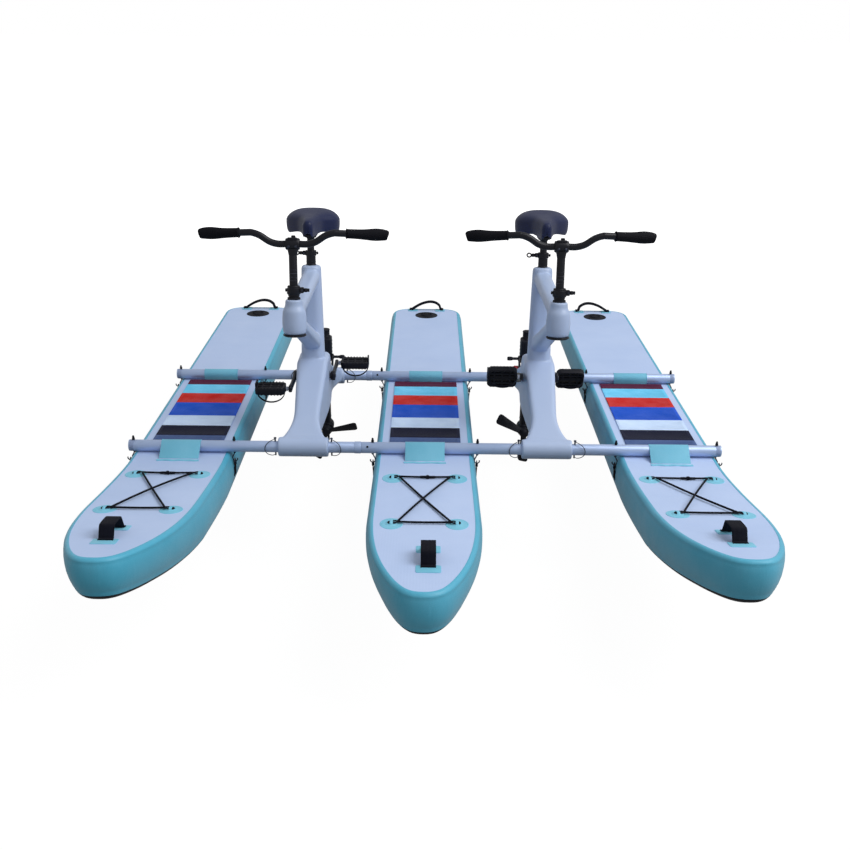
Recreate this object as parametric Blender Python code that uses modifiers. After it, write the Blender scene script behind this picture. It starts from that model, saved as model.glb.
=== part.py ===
"""A side-by-side two-seat water bike: three inflatable pontoons, two cross beams and two pedal frames.

The bow points to -Y and +Z is up. The origin is on the flat bottom of the middle pontoon.
Left and right are as seen from the bow, so left is at -X.
"""
from math import acos, asin, atan2, cos, pi, radians, sin

import bmesh
import bpy
from mathutils import Matrix, Vector

# Fits
gap = 0.0003
running = 0.0008

# Pontoons
board_length = 3.27
board_width = 0.36
board_thickness = 0.15
board_spacing = 0.90
rail_bulge = 0.020
tail_corner = 0.080
nose_length = 0.60
nose_lifts = {"left": 0.154, "middle": 0.055, "right": 0.154}
nose_curves = {"left": 1.26, "middle": 1.05, "right": 1.26}
nose_thinning = 0.025
bow_to_front_beam = 1.16

# Deck fittings
pad_width = 0.27
pad_thickness = 0.004
pad_start = 0.060
pad_length = 0.762
anchor_radius = 0.037
anchor_x = 0.112
anchor_distances = (0.24, 0.635)
patch_thickness = 0.0025
cord_radius = 0.003
cord_inset = 0.020
bow_handle_distance = 0.915
bow_handle_span = 0.230
bow_handle_height = 0.052
bow_handle_width = 0.042
bow_patch_width = 0.072
bow_patch_length = 0.050
webbing_thickness = 0.003
valve_from_tail = 0.13
valve_radius = 0.059
valve_height = 0.003
valve_cap_radius = 0.030
valve_cap_height = 0.006
tab_width = 0.034
tab_height = 0.030
tab_reach = 0.012

# Beams
beam_gauge = 0.85
beam_length = 2.19
beam_radius = 0.021
beam_wall = 0.0022
beam_split = -0.235
spigot_length = 0.070
spigot_wall = 0.003
end_cap_thickness = 0.006
sleeve_width = 0.145
sleeve_wall = 0.0016
flap_reach = 0.086
flap_hem = 0.014
hook_offset = 0.190
hook_bolt_radius = 0.003
hook_knob_radius = 0.006
hook_knob_height = 0.013
eye_drop = 0.010
hook_wire_radius = 0.0024
snap_length = 0.058
snap_half_width = 0.010
pin_radius = 0.003
pin_offset = 0.104
pin_reach = 0.034
bail_reach = 0.036
bail_radius = 0.0016
beam_sides = 16

# Frame
housing_radius = 0.036
housing_width = 0.185
flare_length = 0.10
waist_width = 0.100
keel_arch = 0.012
bb_behind_beam = 0.46
bb_height = 0.30
bb_bore = 0.021
shoulder_width = 0.122
shoulder_height = 0.385
shoulder_depth = 0.115
column_top_height = 0.745
column_top_width = 0.076
column_foot_width = 0.093
column_top_depth = 0.066
column_foot_depth = 0.084
seat_behind_bb = 0.014
seat_tilt = radians(5)
head_ahead_of_beam = 0.12
head_height = 0.699
head_half_height = 0.059
head_rake = radians(7)
bulb_radius = 0.0415
top_tube_width = 0.066
top_tube_height = 0.052
down_tube_width = 0.062
down_tube_height = 0.046
down_tube_drop = 0.016

# Seat
sleeve_radius = 0.0170
post_radius = 0.0135
seat_sleeve_depth = 0.060
seat_collar_radius = 0.0215
seat_collar_height = 0.020
post_exposed = 0.074
post_insertion = 0.160
saddle_length = 0.26
saddle_width = 0.21
saddle_height = 0.050
saddle_setback = 0.030
seat_travel_down = 0.045
rail_radius = 0.0035
rail_spacing = 0.036
rail_space = 0.012
rail_front = -0.055
rail_rear = 0.075
seat_head_width = 0.048
seat_head_length = 0.046
seat_head_height = 0.022
seat_collar_top = 0.056
lug_reach = 0.009
lever_length = 0.046
lever_width = 0.012
cam_radius = 0.0075

# Steering
steerer_radius = 0.0165
bar_post_radius = 0.0140
stem_collar_radius = 0.0235
stem_collar_height = 0.046
stem_neck_radius = 0.0195
stem_neck_height = 0.016
headset_flange_radius = 0.0395
headset_flange_height = 0.009
bar_height = 0.243
bar_post_insertion = 0.125
bar_radius = 0.0115
bar_rise = 0.036
bar_half_width = 0.312
bar_backsweep = 0.034
bar_end_drop = 0.008
clamp_radius = 0.0225
clamp_width = 0.047
grip_length = 0.143
grip_radius = 0.0165

# Crank set
crank_length = 0.170
crank_axle_radius = 0.0105
crank_gap = 0.0055
arm_thickness = 0.014
arm_big_radius = 0.019
arm_small_radius = 0.014
pedal_axle_radius = 0.0065
pedal_offset = 0.012
pedal_width = 0.115
pedal_depth = 0.090
pedal_thickness = 0.022
strap_width = 0.056
strap_drop = 0.046
strap_thickness = 0.0026
gear_radius = 0.0185
gear_width = 0.020

# Drive
pivot_behind_beam = 0.075
pivot_height = 0.235
pivot_radius = 0.006
pivot_bar_length = 0.176
ear_thickness = 0.007
ear_gap = 0.002
ear_radius = 0.014
head_block_width = 0.058
head_block_depth = 0.075
head_block_top = 0.345
head_block_bottom = 0.213
swivel_behind_pivot = 0.040
swivel_radius = 0.014
leg_top = 0.185
leg_cap_radius = 0.021
leg_half_thickness = 0.017
leg_front_chord = 0.030
leg_rear_chord = 0.050
gearcase_radius = 0.028
gearcase_front = 0.036
gearcase_rear = 0.070
skeg_depth = 0.055
prop_height = -0.11
prop_radius = 0.140
prop_hub_radius = 0.021
prop_hub_length = 0.048
prop_shaft_radius = 0.007
drive_shaft_radius = 0.006
blade_pitch = radians(28)
blade_thickness = 0.004
blade_root_chord = 0.026
blade_tip_chord = 0.050
knob_radius = 0.013
knob_thickness = 0.020
knob_stud_radius = 0.004

# Rest poses, by side, in degrees
crank_angles = {"left": 0, "right": -19}
pedal_angles = {"left": 0, "right": -64}
propeller_angles = {"left": 10, "right": 30}

# Places that follow from the sizes above
bow_y = -board_length / 2
tail_y = board_length / 2
front_beam_y = bow_y + bow_to_front_beam
rear_beam_y = front_beam_y + beam_gauge
rise_y = front_beam_y - flap_reach - 0.01
deck_z = board_thickness
deck_half_width = board_width / 2 - rail_bulge
beam_z = deck_z + gap + sleeve_wall + gap + beam_radius
board_centres = {"left": -board_spacing, "middle": 0.0, "right": board_spacing}
bike_centres = {"left": -board_spacing / 2, "right": board_spacing / 2}
bb_y = front_beam_y + bb_behind_beam
bb = Vector((0, bb_y, bb_height))
seat_point = Vector((0, bb_y + seat_behind_bb, column_top_height))
head_point = Vector((0, front_beam_y - head_ahead_of_beam, head_height))
pivot = Vector((0, rear_beam_y + pivot_behind_beam, pivot_height))
swivel_y = pivot.y + swivel_behind_pivot
prop_y = swivel_y - gearcase_front - gap - prop_hub_length / 2
axle_half_length = shoulder_width / 2 + crank_gap
arm_outer = axle_half_length + arm_thickness

parts = bpy.data.collections.new("Water bike")
cutters = bpy.data.collections.new("Cutters")


def clear_scene():
    for obj in list(bpy.data.objects):
        bpy.data.objects.remove(obj, do_unlink=True)
    bpy.context.scene.collection.children.link(parts)
    bpy.context.scene.collection.children.link(cutters)


def material(name, colour, roughness, metallic):
    made = bpy.data.materials.new(name)
    made.use_nodes = True
    shader = made.node_tree.nodes["Principled BSDF"]
    shader.inputs["Base Color"].default_value = (*colour, 1)
    shader.inputs["Roughness"].default_value = roughness
    shader.inputs["Metallic"].default_value = metallic
    return made


def looks():
    """The finish of each piece: base colour, roughness and metallic value."""
    return {
        "hull": ((0.20, 0.56, 0.60), 0.45, 0.0),
        "pad": ((0.03, 0.10, 0.45), 0.8, 0.0),
        "fabric": ((0.16, 0.56, 0.58), 0.6, 0.0),
        "webbing": ((0.012, 0.012, 0.016), 0.75, 0.0),
        "frame": ((0.72, 0.76, 0.82), 0.35, 0.0),
        "tube": ((0.62, 0.66, 0.74), 0.35, 0.3),
        "dark": ((0.012, 0.012, 0.016), 0.45, 0.0),
        "metal": ((0.32, 0.33, 0.35), 0.3, 1.0),
        "leather": ((0.02, 0.025, 0.05), 0.35, 0.0),
        "knob": ((0.45, 0.01, 0.01), 0.4, 0.0),
    }


def object_from(bm, name="blank"):
    bmesh.ops.recalc_face_normals(bm, faces=bm.faces)
    mesh = bpy.data.meshes.new(name)
    bm.to_mesh(mesh)
    bm.free()
    obj = bpy.data.objects.new(name, mesh)
    cutters.objects.link(obj)
    return obj


def applied(obj):
    """The object with its modifiers or its curve turned into one plain welded mesh."""
    bpy.context.view_layer.update()
    graph = bpy.context.evaluated_depsgraph_get()
    mesh = bpy.data.meshes.new_from_object(obj.evaluated_get(graph))
    plain = bpy.data.objects.new(obj.name, mesh)
    plain.matrix_world = obj.matrix_world
    cutters.objects.link(plain)
    if obj.type == "CURVE":
        bm = bmesh.new()
        bm.from_mesh(mesh)
        bmesh.ops.remove_doubles(bm, verts=bm.verts, dist=0.00002)
        bm.to_mesh(mesh)
        bm.free()
    bpy.data.objects.remove(obj, do_unlink=True)
    return plain


def moved(obj, matrix):
    obj.data.transform(matrix)
    return obj


def at(x, y, z):
    return Matrix.Translation((x, y, z))


def block(low, high, rounding=0.0):
    """A box between two corners, with its edges rounded."""
    low, high = Vector(low), Vector(high)
    bm = bmesh.new()
    bmesh.ops.create_cube(bm, size=1)
    bmesh.ops.scale(bm, vec=high - low, verts=bm.verts)
    bmesh.ops.translate(bm, vec=(low + high) / 2, verts=bm.verts)
    if rounding:
        bmesh.ops.bevel(bm, geom=bm.edges[:], offset=rounding, segments=1, affect="EDGES")
    return object_from(bm)


def rod(start, end, radius, sides=beam_sides, end_radius=None):
    """A cylinder, or a cone, from one point to another."""
    start, end = Vector(start), Vector(end)
    bm = bmesh.new()
    last = radius if end_radius is None else end_radius
    bmesh.ops.create_cone(bm, cap_ends=True, segments=sides, radius1=radius, radius2=last,
                          depth=(end - start).length)
    turn = Vector((0, 0, 1)).rotation_difference(end - start).to_matrix().to_4x4()
    bmesh.ops.transform(bm, matrix=Matrix.Translation((start + end) / 2) @ turn, verts=bm.verts)
    return object_from(bm)


def turned(profile, sides=20, closed=False):
    """A profile of (radius, height) points, top to bottom on its outer side, screwed about Z."""
    bm = bmesh.new()
    corners = [bm.verts.new((radius, 0, height)) for radius, height in profile]
    ends = corners[1:] + corners[:1] if closed else corners[1:]
    for first, second in zip(corners, ends):
        bm.edges.new((first, second))
    mesh = bpy.data.meshes.new("profile")
    bm.to_mesh(mesh)
    bm.free()
    obj = bpy.data.objects.new("profile", mesh)
    cutters.objects.link(obj)
    screw = obj.modifiers.new("Screw", "SCREW")
    screw.steps = sides
    screw.render_steps = sides
    screw.use_merge_vertices = True
    screw.merge_threshold = 0.0001
    return applied(obj)


def ring_shape(outer, inner, low, high, sides=20):
    """A plain hollow cylinder about Z."""
    return turned([(outer, high), (outer, low), (inner, low), (inner, high)], sides, closed=True)


def extruded(outline, half_depth, holes=()):
    """A flat outline in XY, with round holes (x, y, radius), extruded both ways along Z."""
    curve = bpy.data.curves.new("outline", "CURVE")
    curve.dimensions = "2D"
    curve.fill_mode = "BOTH"
    curve.extrude = half_depth
    hole_rings = [arc(radius, 0, 2 * pi * 9 / 10, 10, (x, y)) for x, y, radius in holes]
    for loop in [outline, *hole_rings]:
        spline = curve.splines.new("POLY")
        spline.points.add(len(loop) - 1)
        for point, (x, y) in zip(spline.points, loop):
            point.co = (x, y, 0, 1)
        spline.use_cyclic_u = True
    obj = bpy.data.objects.new("outline", curve)
    cutters.objects.link(obj)
    return applied(obj)


def wire(points, radius, resolution=2, cyclic=False):
    """A round wire through the given points."""
    curve = bpy.data.curves.new("wire", "CURVE")
    curve.dimensions = "3D"
    curve.bevel_depth = radius
    curve.bevel_resolution = resolution
    curve.use_fill_caps = True
    spline = curve.splines.new("POLY")
    spline.points.add(len(points) - 1)
    for point, place in zip(spline.points, points):
        point.co = (*place, 1)
    spline.use_cyclic_u = cyclic
    obj = bpy.data.objects.new("wire", curve)
    cutters.objects.link(obj)
    return applied(obj)


def arc(radius, start, end, steps, centre=(0, 0)):
    """Points on an arc in a plane, from one angle to another, ends included."""
    angles = [start + (end - start) * step / (steps - 1) for step in range(steps)]
    return [(centre[0] + radius * cos(a), centre[1] + radius * sin(a)) for a in angles]


def smooth_route(points, steps, cyclic=False):
    """Points read from a smooth curve through the given points."""
    points = [Vector(point) for point in points]
    count = len(points)
    route = []
    for index in range(count if cyclic else count - 1):
        a = points[(index - 1) % count] if cyclic or index else points[0]
        b = points[index]
        c = points[(index + 1) % count]
        d = points[(index + 2) % count] if cyclic or index + 2 < count else points[-1]
        for step in range(steps):
            t = step / steps
            bend = (2 * a - 5 * b + 4 * c - d) * t * t + (3 * b - 3 * c + d - a) * t ** 3
            route.append(b + ((c - a) * t + bend) / 2)
    if not cyclic:
        route.append(points[-1])
    return route


def round_section(centre, half_width, half_height, up=Vector((0, 0, 1)), corner=0.016):
    """A rounded rectangle across X, with its height along the given direction."""
    radius = min(corner, 0.9 * half_width, 0.9 * half_height)
    points = []
    for quarter in range(4):
        side_x = 1 if quarter in (0, 3) else -1
        side_up = 1 if quarter in (0, 1) else -1
        middle = (side_x * (half_width - radius), side_up * (half_height - radius))
        points += arc(radius, quarter * pi / 2, (quarter + 1) * pi / 2, 3, middle)
    return [Vector(centre) + Vector((x, 0, 0)) + Vector(up) * z for x, z in points]


def loft(sections):
    """A closed body through sections that have the same number of points."""
    bm = bmesh.new()
    rings = [[bm.verts.new(point) for point in section] for section in sections]
    for first, second in zip(rings, rings[1:]):
        for index in range(len(first)):
            after = (index + 1) % len(first)
            bm.faces.new((first[index], first[after], second[after], second[index]))
    bm.faces.new(rings[0])
    bm.faces.new(rings[-1])
    return object_from(bm)


def boolean(obj, other, operation):
    """Join the other body to the first, or cut it away."""
    change = obj.modifiers.new(operation, "BOOLEAN")
    change.operation = operation
    change.object = other
    plain = applied(obj)
    bpy.data.objects.remove(other, do_unlink=True)
    return plain


def fused(first, *others):
    for other in others:
        first = boolean(first, other, "UNION")
    return first


def cut(body, cutter):
    return boolean(body, cutter, "DIFFERENCE")


def keep(name, piece, look, smooth=True):
    """Make the piece a named part with its own material."""
    piece.name = name
    piece.data.name = name
    piece.data.materials.clear()
    piece.data.materials.append(material(name, *looks()[look]))
    if smooth:
        piece.data.shade_smooth()
        piece.data.set_sharp_from_angle(angle=radians(35))
    cutters.objects.unlink(piece)
    parts.objects.link(piece)
    return piece


def place(piece, parent, location=(0, 0, 0), rotation=(0, 0, 0)):
    piece.parent = parent
    piece.location = location
    piece.rotation_euler = rotation
    return piece


def empty(name, location, rotation=(0, 0, 0), parent=None):
    made = bpy.data.objects.new(name, None)
    made.empty_display_size = 0.1
    parts.objects.link(made)
    return place(made, parent, location, rotation)


# Pontoons

def board_section(y, half_width, low, high):
    """The flat deck and bottom, with the side walls bulging out between them."""
    steps = 4
    side = []
    for step in range(steps + 1):
        t = step / steps
        side.append((half_width + rail_bulge * sin(pi * t) ** 0.7, high + (low - high) * t))
    outline = side + [(-x, z) for x, z in reversed(side)]
    return [Vector((x, y, z)) for x, z in outline]


def board_stations(side):
    """Distance along the board, deck half width, bottom and top. The board curves up ahead of its sleeve."""
    nose_root = bow_y + nose_length
    ys = [bow_y + nose_length * share for share in (0.005, 0.07, 0.18, 0.36, 0.58, 0.8)]
    ys += [nose_root + (rise_y - nose_root) * share for share in (0, 0.35, 0.7, 1)]
    stations = []
    for y in ys:
        taper = max(0.0, (nose_root - y) / nose_length)
        half_width = deck_half_width * (1 - taper ** 2.3) ** 0.55
        lift = nose_lifts[side] * ((rise_y - y) / (rise_y - bow_y)) ** nose_curves[side]
        stations.append((y, half_width, lift + nose_thinning * taper ** 2, board_thickness + lift))
    for degrees in (0, 30, 58, 80):
        a = radians(degrees)
        inset = tail_corner * (1 - cos(a))
        stations.append((tail_y - tail_corner * (1 - sin(a)), deck_half_width - inset, 0, board_thickness))
    return stations


# Deck fittings

def make_pads():
    low = deck_z + gap
    front = front_beam_y + pad_start
    for side, centre in board_centres.items():
        pad = block((-pad_width / 2, front, low), (pad_width / 2, front + pad_length, low + pad_thickness))
        place(keep(f"deck_pad_{side}", pad, "pad"), None, (centre, 0, 0))


def deck_height(y, side):
    """Height of a board's deck at a distance along it, read between its stations."""
    stations = board_stations(side)
    for (y0, _, _, z0), (y1, _, _, z1) in zip(stations, stations[1:]):
        if y0 <= y <= y1:
            return z0 + (z1 - z0) * (y - y0) / (y1 - y0)
    return board_thickness


def deck_frame(y, half_span, side):
    """A frame that lies on the deck, touching it at both ends of a span along the board."""
    front, rear = deck_height(y - half_span, side), deck_height(y + half_span, side)
    slope = atan2(rear - front, 2 * half_span)
    return at(0, y, (front + rear) / 2) @ Matrix.Rotation(slope, 4, "X")


def anchor_ys():
    return [front_beam_y - distance for distance in anchor_distances]


def hull_fittings(board):
    """What is welded to a hull: cord anchors, handle patches, valve and the tabs on its sides."""
    sunk = 0.004
    fittings = []
    for y in anchor_ys():
        stand = deck_frame(y, anchor_radius, board)
        for x in (-anchor_x, anchor_x):
            fittings.append(moved(rod((x, 0, -sunk), (x, 0, patch_thickness), anchor_radius, 12), stand))
    stand = deck_frame(front_beam_y - bow_handle_distance, bow_handle_span / 2, board)
    for end in (-1, 1):
        middle = end * (bow_handle_span - bow_patch_length) / 2
        low = (-bow_patch_width / 2, middle - bow_patch_length / 2, -sunk)
        high = (bow_patch_width / 2, middle + bow_patch_length / 2, patch_thickness)
        fittings.append(moved(block(low, high), stand))
    y = tail_y - valve_from_tail
    top = deck_z + valve_height
    fittings.append(fused(
        rod((0, y, deck_z - sunk), (0, y, top), valve_radius, 14),
        rod((0, y, deck_z), (0, y, top + valve_cap_height), valve_cap_radius, 10),
    ))
    top = hook_eye_z() - snap_length - 2 * hook_wire_radius - 2 * gap
    for y in beam_ys():
        for side in (-1, 1):
            root = side * (deck_half_width + rail_bulge * 0.5)
            tip = side * (board_width / 2 + tab_reach)
            low = (min(root, tip), y - tab_width / 2, top - tab_height)
            fittings.append(block(low, (max(root, tip), y + tab_width / 2, top)))
    return fittings


def make_pontoons():
    for side, centre in board_centres.items():
        sections = [board_section(*station) for station in board_stations(side)]
        place(keep(f"pontoon_{side}", fused(loft(sections), *hull_fittings(side)), "hull"), None, (centre, 0, 0))


def share(kind, piece, look, centres):
    """One part at each centre, all with the same mesh."""
    for side, centre in centres.items():
        copy = bpy.data.objects.new("copy", piece.data.copy())
        cutters.objects.link(copy)
        place(keep(f"{kind}_{side}", copy, look), None, (centre, 0, 0))
    bpy.data.objects.remove(piece, do_unlink=True)


def bungee_route(board):
    """Round the four anchors and over the deck. The second diagonal passes over the first."""
    rear_y, front_y = anchor_ys()
    middle_y = (rear_y + front_y) / 2
    side = anchor_x - cord_inset
    plan = [
        (-side, rear_y, 0), (0, middle_y, 0), (side, front_y, 0), (0, front_y + 0.004, 0),
        (-side, front_y, 0), (0, middle_y, 0), (side, rear_y, 0), (0, rear_y - 0.004, 0),
    ]
    flat = smooth_route(plan, 3, cyclic=True)
    above = patch_thickness + cord_radius + running
    route = []
    for index, (x, y, _) in enumerate(flat):
        over = max(0.0, 1 - abs(y - middle_y) / 0.08) if index >= len(flat) / 2 else 0
        route.append((x, y, deck_height(y, board) + above + (2 * cord_radius + 2 * gap) * over))
    return route


def make_bungee_cords():
    for side, centre in board_centres.items():
        cord = wire(bungee_route(side), cord_radius, 0, cyclic=True)
        place(keep(f"bungee_cord_{side}", cord, "webbing"), None, (centre, 0, 0))


def make_bow_handles():
    """A webbing arch that runs along the board, its feet on the two patches."""
    angles = [pi * step / 8 for step in range(9)]
    half = (bow_handle_span - bow_patch_length) / 2
    inner_half, inner_height = half - webbing_thickness, bow_handle_height - webbing_thickness
    outer = [(half * cos(a), bow_handle_height * sin(a) ** 0.8) for a in angles]
    inner = [(inner_half * cos(a), inner_height * sin(a) ** 0.8) for a in reversed(angles)]
    for side, centre in board_centres.items():
        strip = moved(extruded(outer + inner, bow_handle_width / 2), sideways())
        stand = deck_frame(front_beam_y - bow_handle_distance, bow_handle_span / 2, side)
        moved(strip, stand @ at(0, 0, patch_thickness + gap))
        place(keep(f"bow_handle_{side}", strip, "webbing"), None, (centre, 0, 0))


# Beams

def beam_ys():
    return (front_beam_y, rear_beam_y)


def hook_eye_z():
    return beam_z - beam_radius - eye_drop


def hook_xs():
    return [centre + side * hook_offset for centre in board_centres.values() for side in (-1, 1)]


def pin_xs():
    return [(centre + side * pin_offset, side) for centre in bike_centres.values() for side in (-1, 1)]


def sideways():
    """Turn an outline drawn in XY so that its x runs along +Y and its y along +Z."""
    return Matrix(((0, 0, 1, 0), (1, 0, 0, 0), (0, 1, 0, 0), (0, 0, 0, 1)))


def hook(x):
    """A bolt through the beam with a knob on top, and the snap hook hanging from its lower end."""
    top = beam_radius + hook_knob_height
    shank = rod((x, 0, -beam_radius - eye_drop - 0.003), (x, 0, top), hook_bolt_radius, 6)
    knob = rod((x, 0, beam_radius + 0.001), (x, 0, top), hook_knob_radius, 6)
    middle = hook_eye_z() - beam_z - snap_length / 2
    half = snap_length / 2
    lower = arc(snap_half_width, pi, 2 * pi, 3, (0, -half + snap_half_width))
    upper = arc(snap_half_width * 0.7, 0, pi, 3, (0, half - snap_half_width * 0.7))
    loop = [(x, y, middle + z) for y, z in lower + upper]
    return [shank, knob, wire(loop, hook_wire_radius, 0, cyclic=True)]


def lock_pin(x, side):
    """An upright pin through the beam, with its wire bail round the front of the tube."""
    shank = rod((x, 0, -pin_reach), (x, 0, pin_reach), pin_radius, 6)
    end = pin_reach - 0.003
    angles = [-1.3 + 2.6 * step / 4 for step in range(5)]
    bow = [(x + side * bail_reach * cos(a), -0.004 - beam_radius * cos(a), end * sin(a)) for a in angles]
    return [shank, wire([(x, 0, -end), *bow, (x, 0, end)], bail_radius, 0)]


def beam_half(start, end, spigot):
    """One tube of a beam, about the beam's axis, with its closed end and what is bolted through it."""
    closed, joint = (start, end) if abs(start) > abs(end) else (end, start)
    inward = 1 if joint > closed else -1
    solid = rod((start, 0, 0), (end, 0, 0), beam_radius)
    inner = beam_radius - beam_wall
    bore_start = closed + inward * end_cap_thickness
    tube = cut(solid, rod((bore_start, 0, 0), (joint + inward * 0.01, 0, 0), inner))
    if spigot:
        outer = inner - gap
        reach = joint + inward * spigot_length / 2
        root = joint - inward * spigot_length / 2
        sleeve_tube = cut(rod((root, 0, 0), (reach, 0, 0), inner + 0.0005),
                          rod((reach, 0, 0), (joint, 0, 0), inner + 0.01))
        nose = rod((root, 0, 0), (reach, 0, 0), outer)
        tube = fused(tube, sleeve_tube, nose)
        hollow = rod((root - inward * 0.01, 0, 0), (reach + inward * 0.01, 0, 0), outer - spigot_wall)
        tube = cut(tube, hollow)
    fittings = [piece for x in hook_xs() if start < x < end for piece in hook(x)]
    fittings += [piece for x, side in pin_xs() if start < x < end for piece in lock_pin(x, side)]
    return fused(tube, *fittings)


def make_beams():
    half = beam_length / 2
    left = beam_half(-half, beam_split - gap, True)
    right = beam_half(beam_split + gap, half, False)
    for name, y in (("front_beam", front_beam_y), ("rear_beam", rear_beam_y)):
        for side, tube in (("left", left), ("right", right)):
            copy = bpy.data.objects.new("copy", tube.data.copy())
            cutters.objects.link(copy)
            place(keep(f"{name}_{side}", copy, "tube"), None, (0, y, beam_z))
    for tube in (left, right):
        bpy.data.objects.remove(tube, do_unlink=True)


def flap_outline(outer, flap):
    """A thin sheet in YZ that leaves the loop near its top and ends in a hem flat on the deck."""
    floor = -outer * cos(pi / beam_sides)
    knee = flap_hem - flap
    leave = atan2(floor, knee) % (2 * pi) - acos(outer / Vector((knee, floor)).length)
    inner = outer - sleeve_wall / 2
    return [(outer * cos(leave), outer * sin(leave)), (knee, floor + sleeve_wall), (-flap, floor + sleeve_wall),
            (-flap, floor), (knee + sleeve_wall, floor), (inner * cos(leave - 0.02), inner * sin(leave - 0.02))]


def make_sleeves():
    """Fabric loops round the beams. The front ones have a flap that slopes to the deck ahead."""
    outer = beam_radius + gap + sleeve_wall
    reach = sleeve_width
    for name, y, flap in (("front_sleeve", front_beam_y, flap_reach), ("rear_sleeve", rear_beam_y, 0)):
        body = rod((-sleeve_width / 2, 0, 0), (sleeve_width / 2, 0, 0), outer)
        if flap:
            body = fused(body, moved(extruded(flap_outline(outer, flap), sleeve_width / 2), sideways()))
        body = cut(body, rod((-reach, 0, 0), (reach, 0, 0), beam_radius + gap))
        share(name, moved(body, at(0, y, beam_z)), "fabric", board_centres)


# Frame

def lower_frame():
    """The arched keel between the two beam housings, with the front leg rising to the shoulder."""
    block_front = bb_y - shoulder_depth * 0.55
    block_rear = bb_y + shoulder_depth * 0.45
    stations = []
    front_run = block_front - front_beam_y
    rear_run = rear_beam_y - block_rear
    for t in (0, 0.08, 0.20, 0.42, 0.72):
        stations.append((front_beam_y + t * front_run, t))
    stations += [(block_front, 1), (block_rear, 1)]
    for t in (0.80, 0.48, 0.22, 0.09, 0):
        stations.append((rear_beam_y - t * rear_run, t))
    sections = []
    for y, rise in stations:
        distance = min(y - front_beam_y, rear_beam_y - y)
        flare = max(0.0, 1 - distance / flare_length) ** 2
        width = waist_width + (housing_width - 0.002 - waist_width) * flare
        width += (shoulder_width - waist_width) * max(0.0, rise - 0.42) / 0.58
        low = beam_z - 0.7 * housing_radius + keel_arch * rise
        high = beam_z + 0.7 * housing_radius
        high += (shoulder_height - high) * rise ** 1.2
        sections.append(round_section((0, y, (low + high) / 2), width / 2, (high - low) / 2))
    return loft(sections)


def along(start, end, widths, heights, corner=0.02):
    """A rounded tube whose section changes from its start to its end."""
    direction = (end - start).normalized()
    up = Vector((0, -direction.z, direction.y))
    rings = [round_section(start, widths[0] / 2, heights[0] / 2, up, corner),
             round_section(end, widths[1] / 2, heights[1] / 2, up, corner)]
    return loft(rings)


def seat_axis():
    return Vector((0, sin(seat_tilt), cos(seat_tilt)))


def head_axis():
    return Vector((0, sin(head_rake), cos(head_rake)))


def column():
    """The tapered upright, from the shoulder to the seat."""
    axis = seat_axis()
    up = Vector((0, -axis.z, axis.y))
    drop = (column_top_height - shoulder_height + 0.03) / axis.z
    foot = seat_point - axis * drop
    crown = seat_point - axis * 0.010
    rim = 0.012
    return loft([
        round_section(foot, column_foot_width / 2, column_foot_depth / 2, up, 0.03),
        round_section(crown, column_top_width / 2, column_top_depth / 2, up, 0.03),
        round_section(seat_point, (column_top_width - rim) / 2, (column_top_depth - rim) / 2, up, 0.03),
    ])


def head_tube():
    half = head_half_height
    profile = [
        (0, half), (0.030, half), (0.0325, half * 0.6), (0.039, half * 0.1), (bulb_radius, -half * 0.45),
        (0.0405, -half * 0.8), (0.036, -half), (0, -half),
    ]
    return moved(turned(profile, 16), at(*head_point) @ Matrix.Rotation(-head_rake, 4, "X"))


def frame_bores():
    """Everything cut from the frame: beam housings, bottom bracket, seat and steering bores."""
    width = housing_width
    bores = [rod((-width, y, beam_z), (width, y, beam_z), beam_radius + gap) for y in beam_ys()]
    bores.append(rod((-width, bb_y, bb_height), (width, bb_y, bb_height), bb_bore, 16))
    axis = seat_axis()
    sleeve_end = seat_point - axis * (seat_sleeve_depth + gap)
    bore_end = sleeve_end - axis * (post_insertion + seat_travel_down)
    bores.append(rod(sleeve_end, seat_point + axis * 0.02, sleeve_radius + gap))
    bores.append(rod(bore_end, sleeve_end + axis * 0.01, post_radius + running))
    top = head_point + head_axis() * (head_half_height + 0.02)
    bottom = head_point - head_axis() * (head_half_height + 0.05)
    bores.append(rod(bottom, top, steerer_radius + running))
    return bores


def make_frame():
    housings = [rod((-housing_width / 2, y, beam_z), (housing_width / 2, y, beam_z), housing_radius)
                for y in beam_ys()]
    seat_joint = seat_point - seat_axis() * (top_tube_height / 2 + 0.016)
    head_joint = head_point + head_axis() * 0.012
    top_tube = along(head_joint, seat_joint, (top_tube_width * 0.9, top_tube_width),
                     (top_tube_height, top_tube_height))
    down_head = head_point - head_axis() * down_tube_drop
    down_foot = Vector((0, bb_y - 0.030, shoulder_height + 0.035))
    down_tube = along(down_head, down_foot, (down_tube_width, down_tube_width * 1.1),
                      (down_tube_height, down_tube_height * 1.3))
    body = fused(lower_frame(), *housings, column(), top_tube, down_tube, head_tube())
    for bore in frame_bores():
        body = cut(body, bore)
    return body


def make_bottom_bracket():
    """The bearing cartridge that the crank axle turns in, about X."""
    half = shoulder_width / 2 - 0.002
    ring = ring_shape(bb_bore - 2 * gap, gear_radius + running, -half, half, 16)
    lip = 0.006
    bodies = [ring]
    for side in (-1, 1):
        outer = side * half
        inner = side * (half - lip)
        bodies.append(ring_shape(bb_bore - 3 * gap, crank_axle_radius + running, *sorted((inner, outer)), 16))
    return moved(fused(*bodies), Matrix.Rotation(pi / 2, 4, "Y"))


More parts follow.
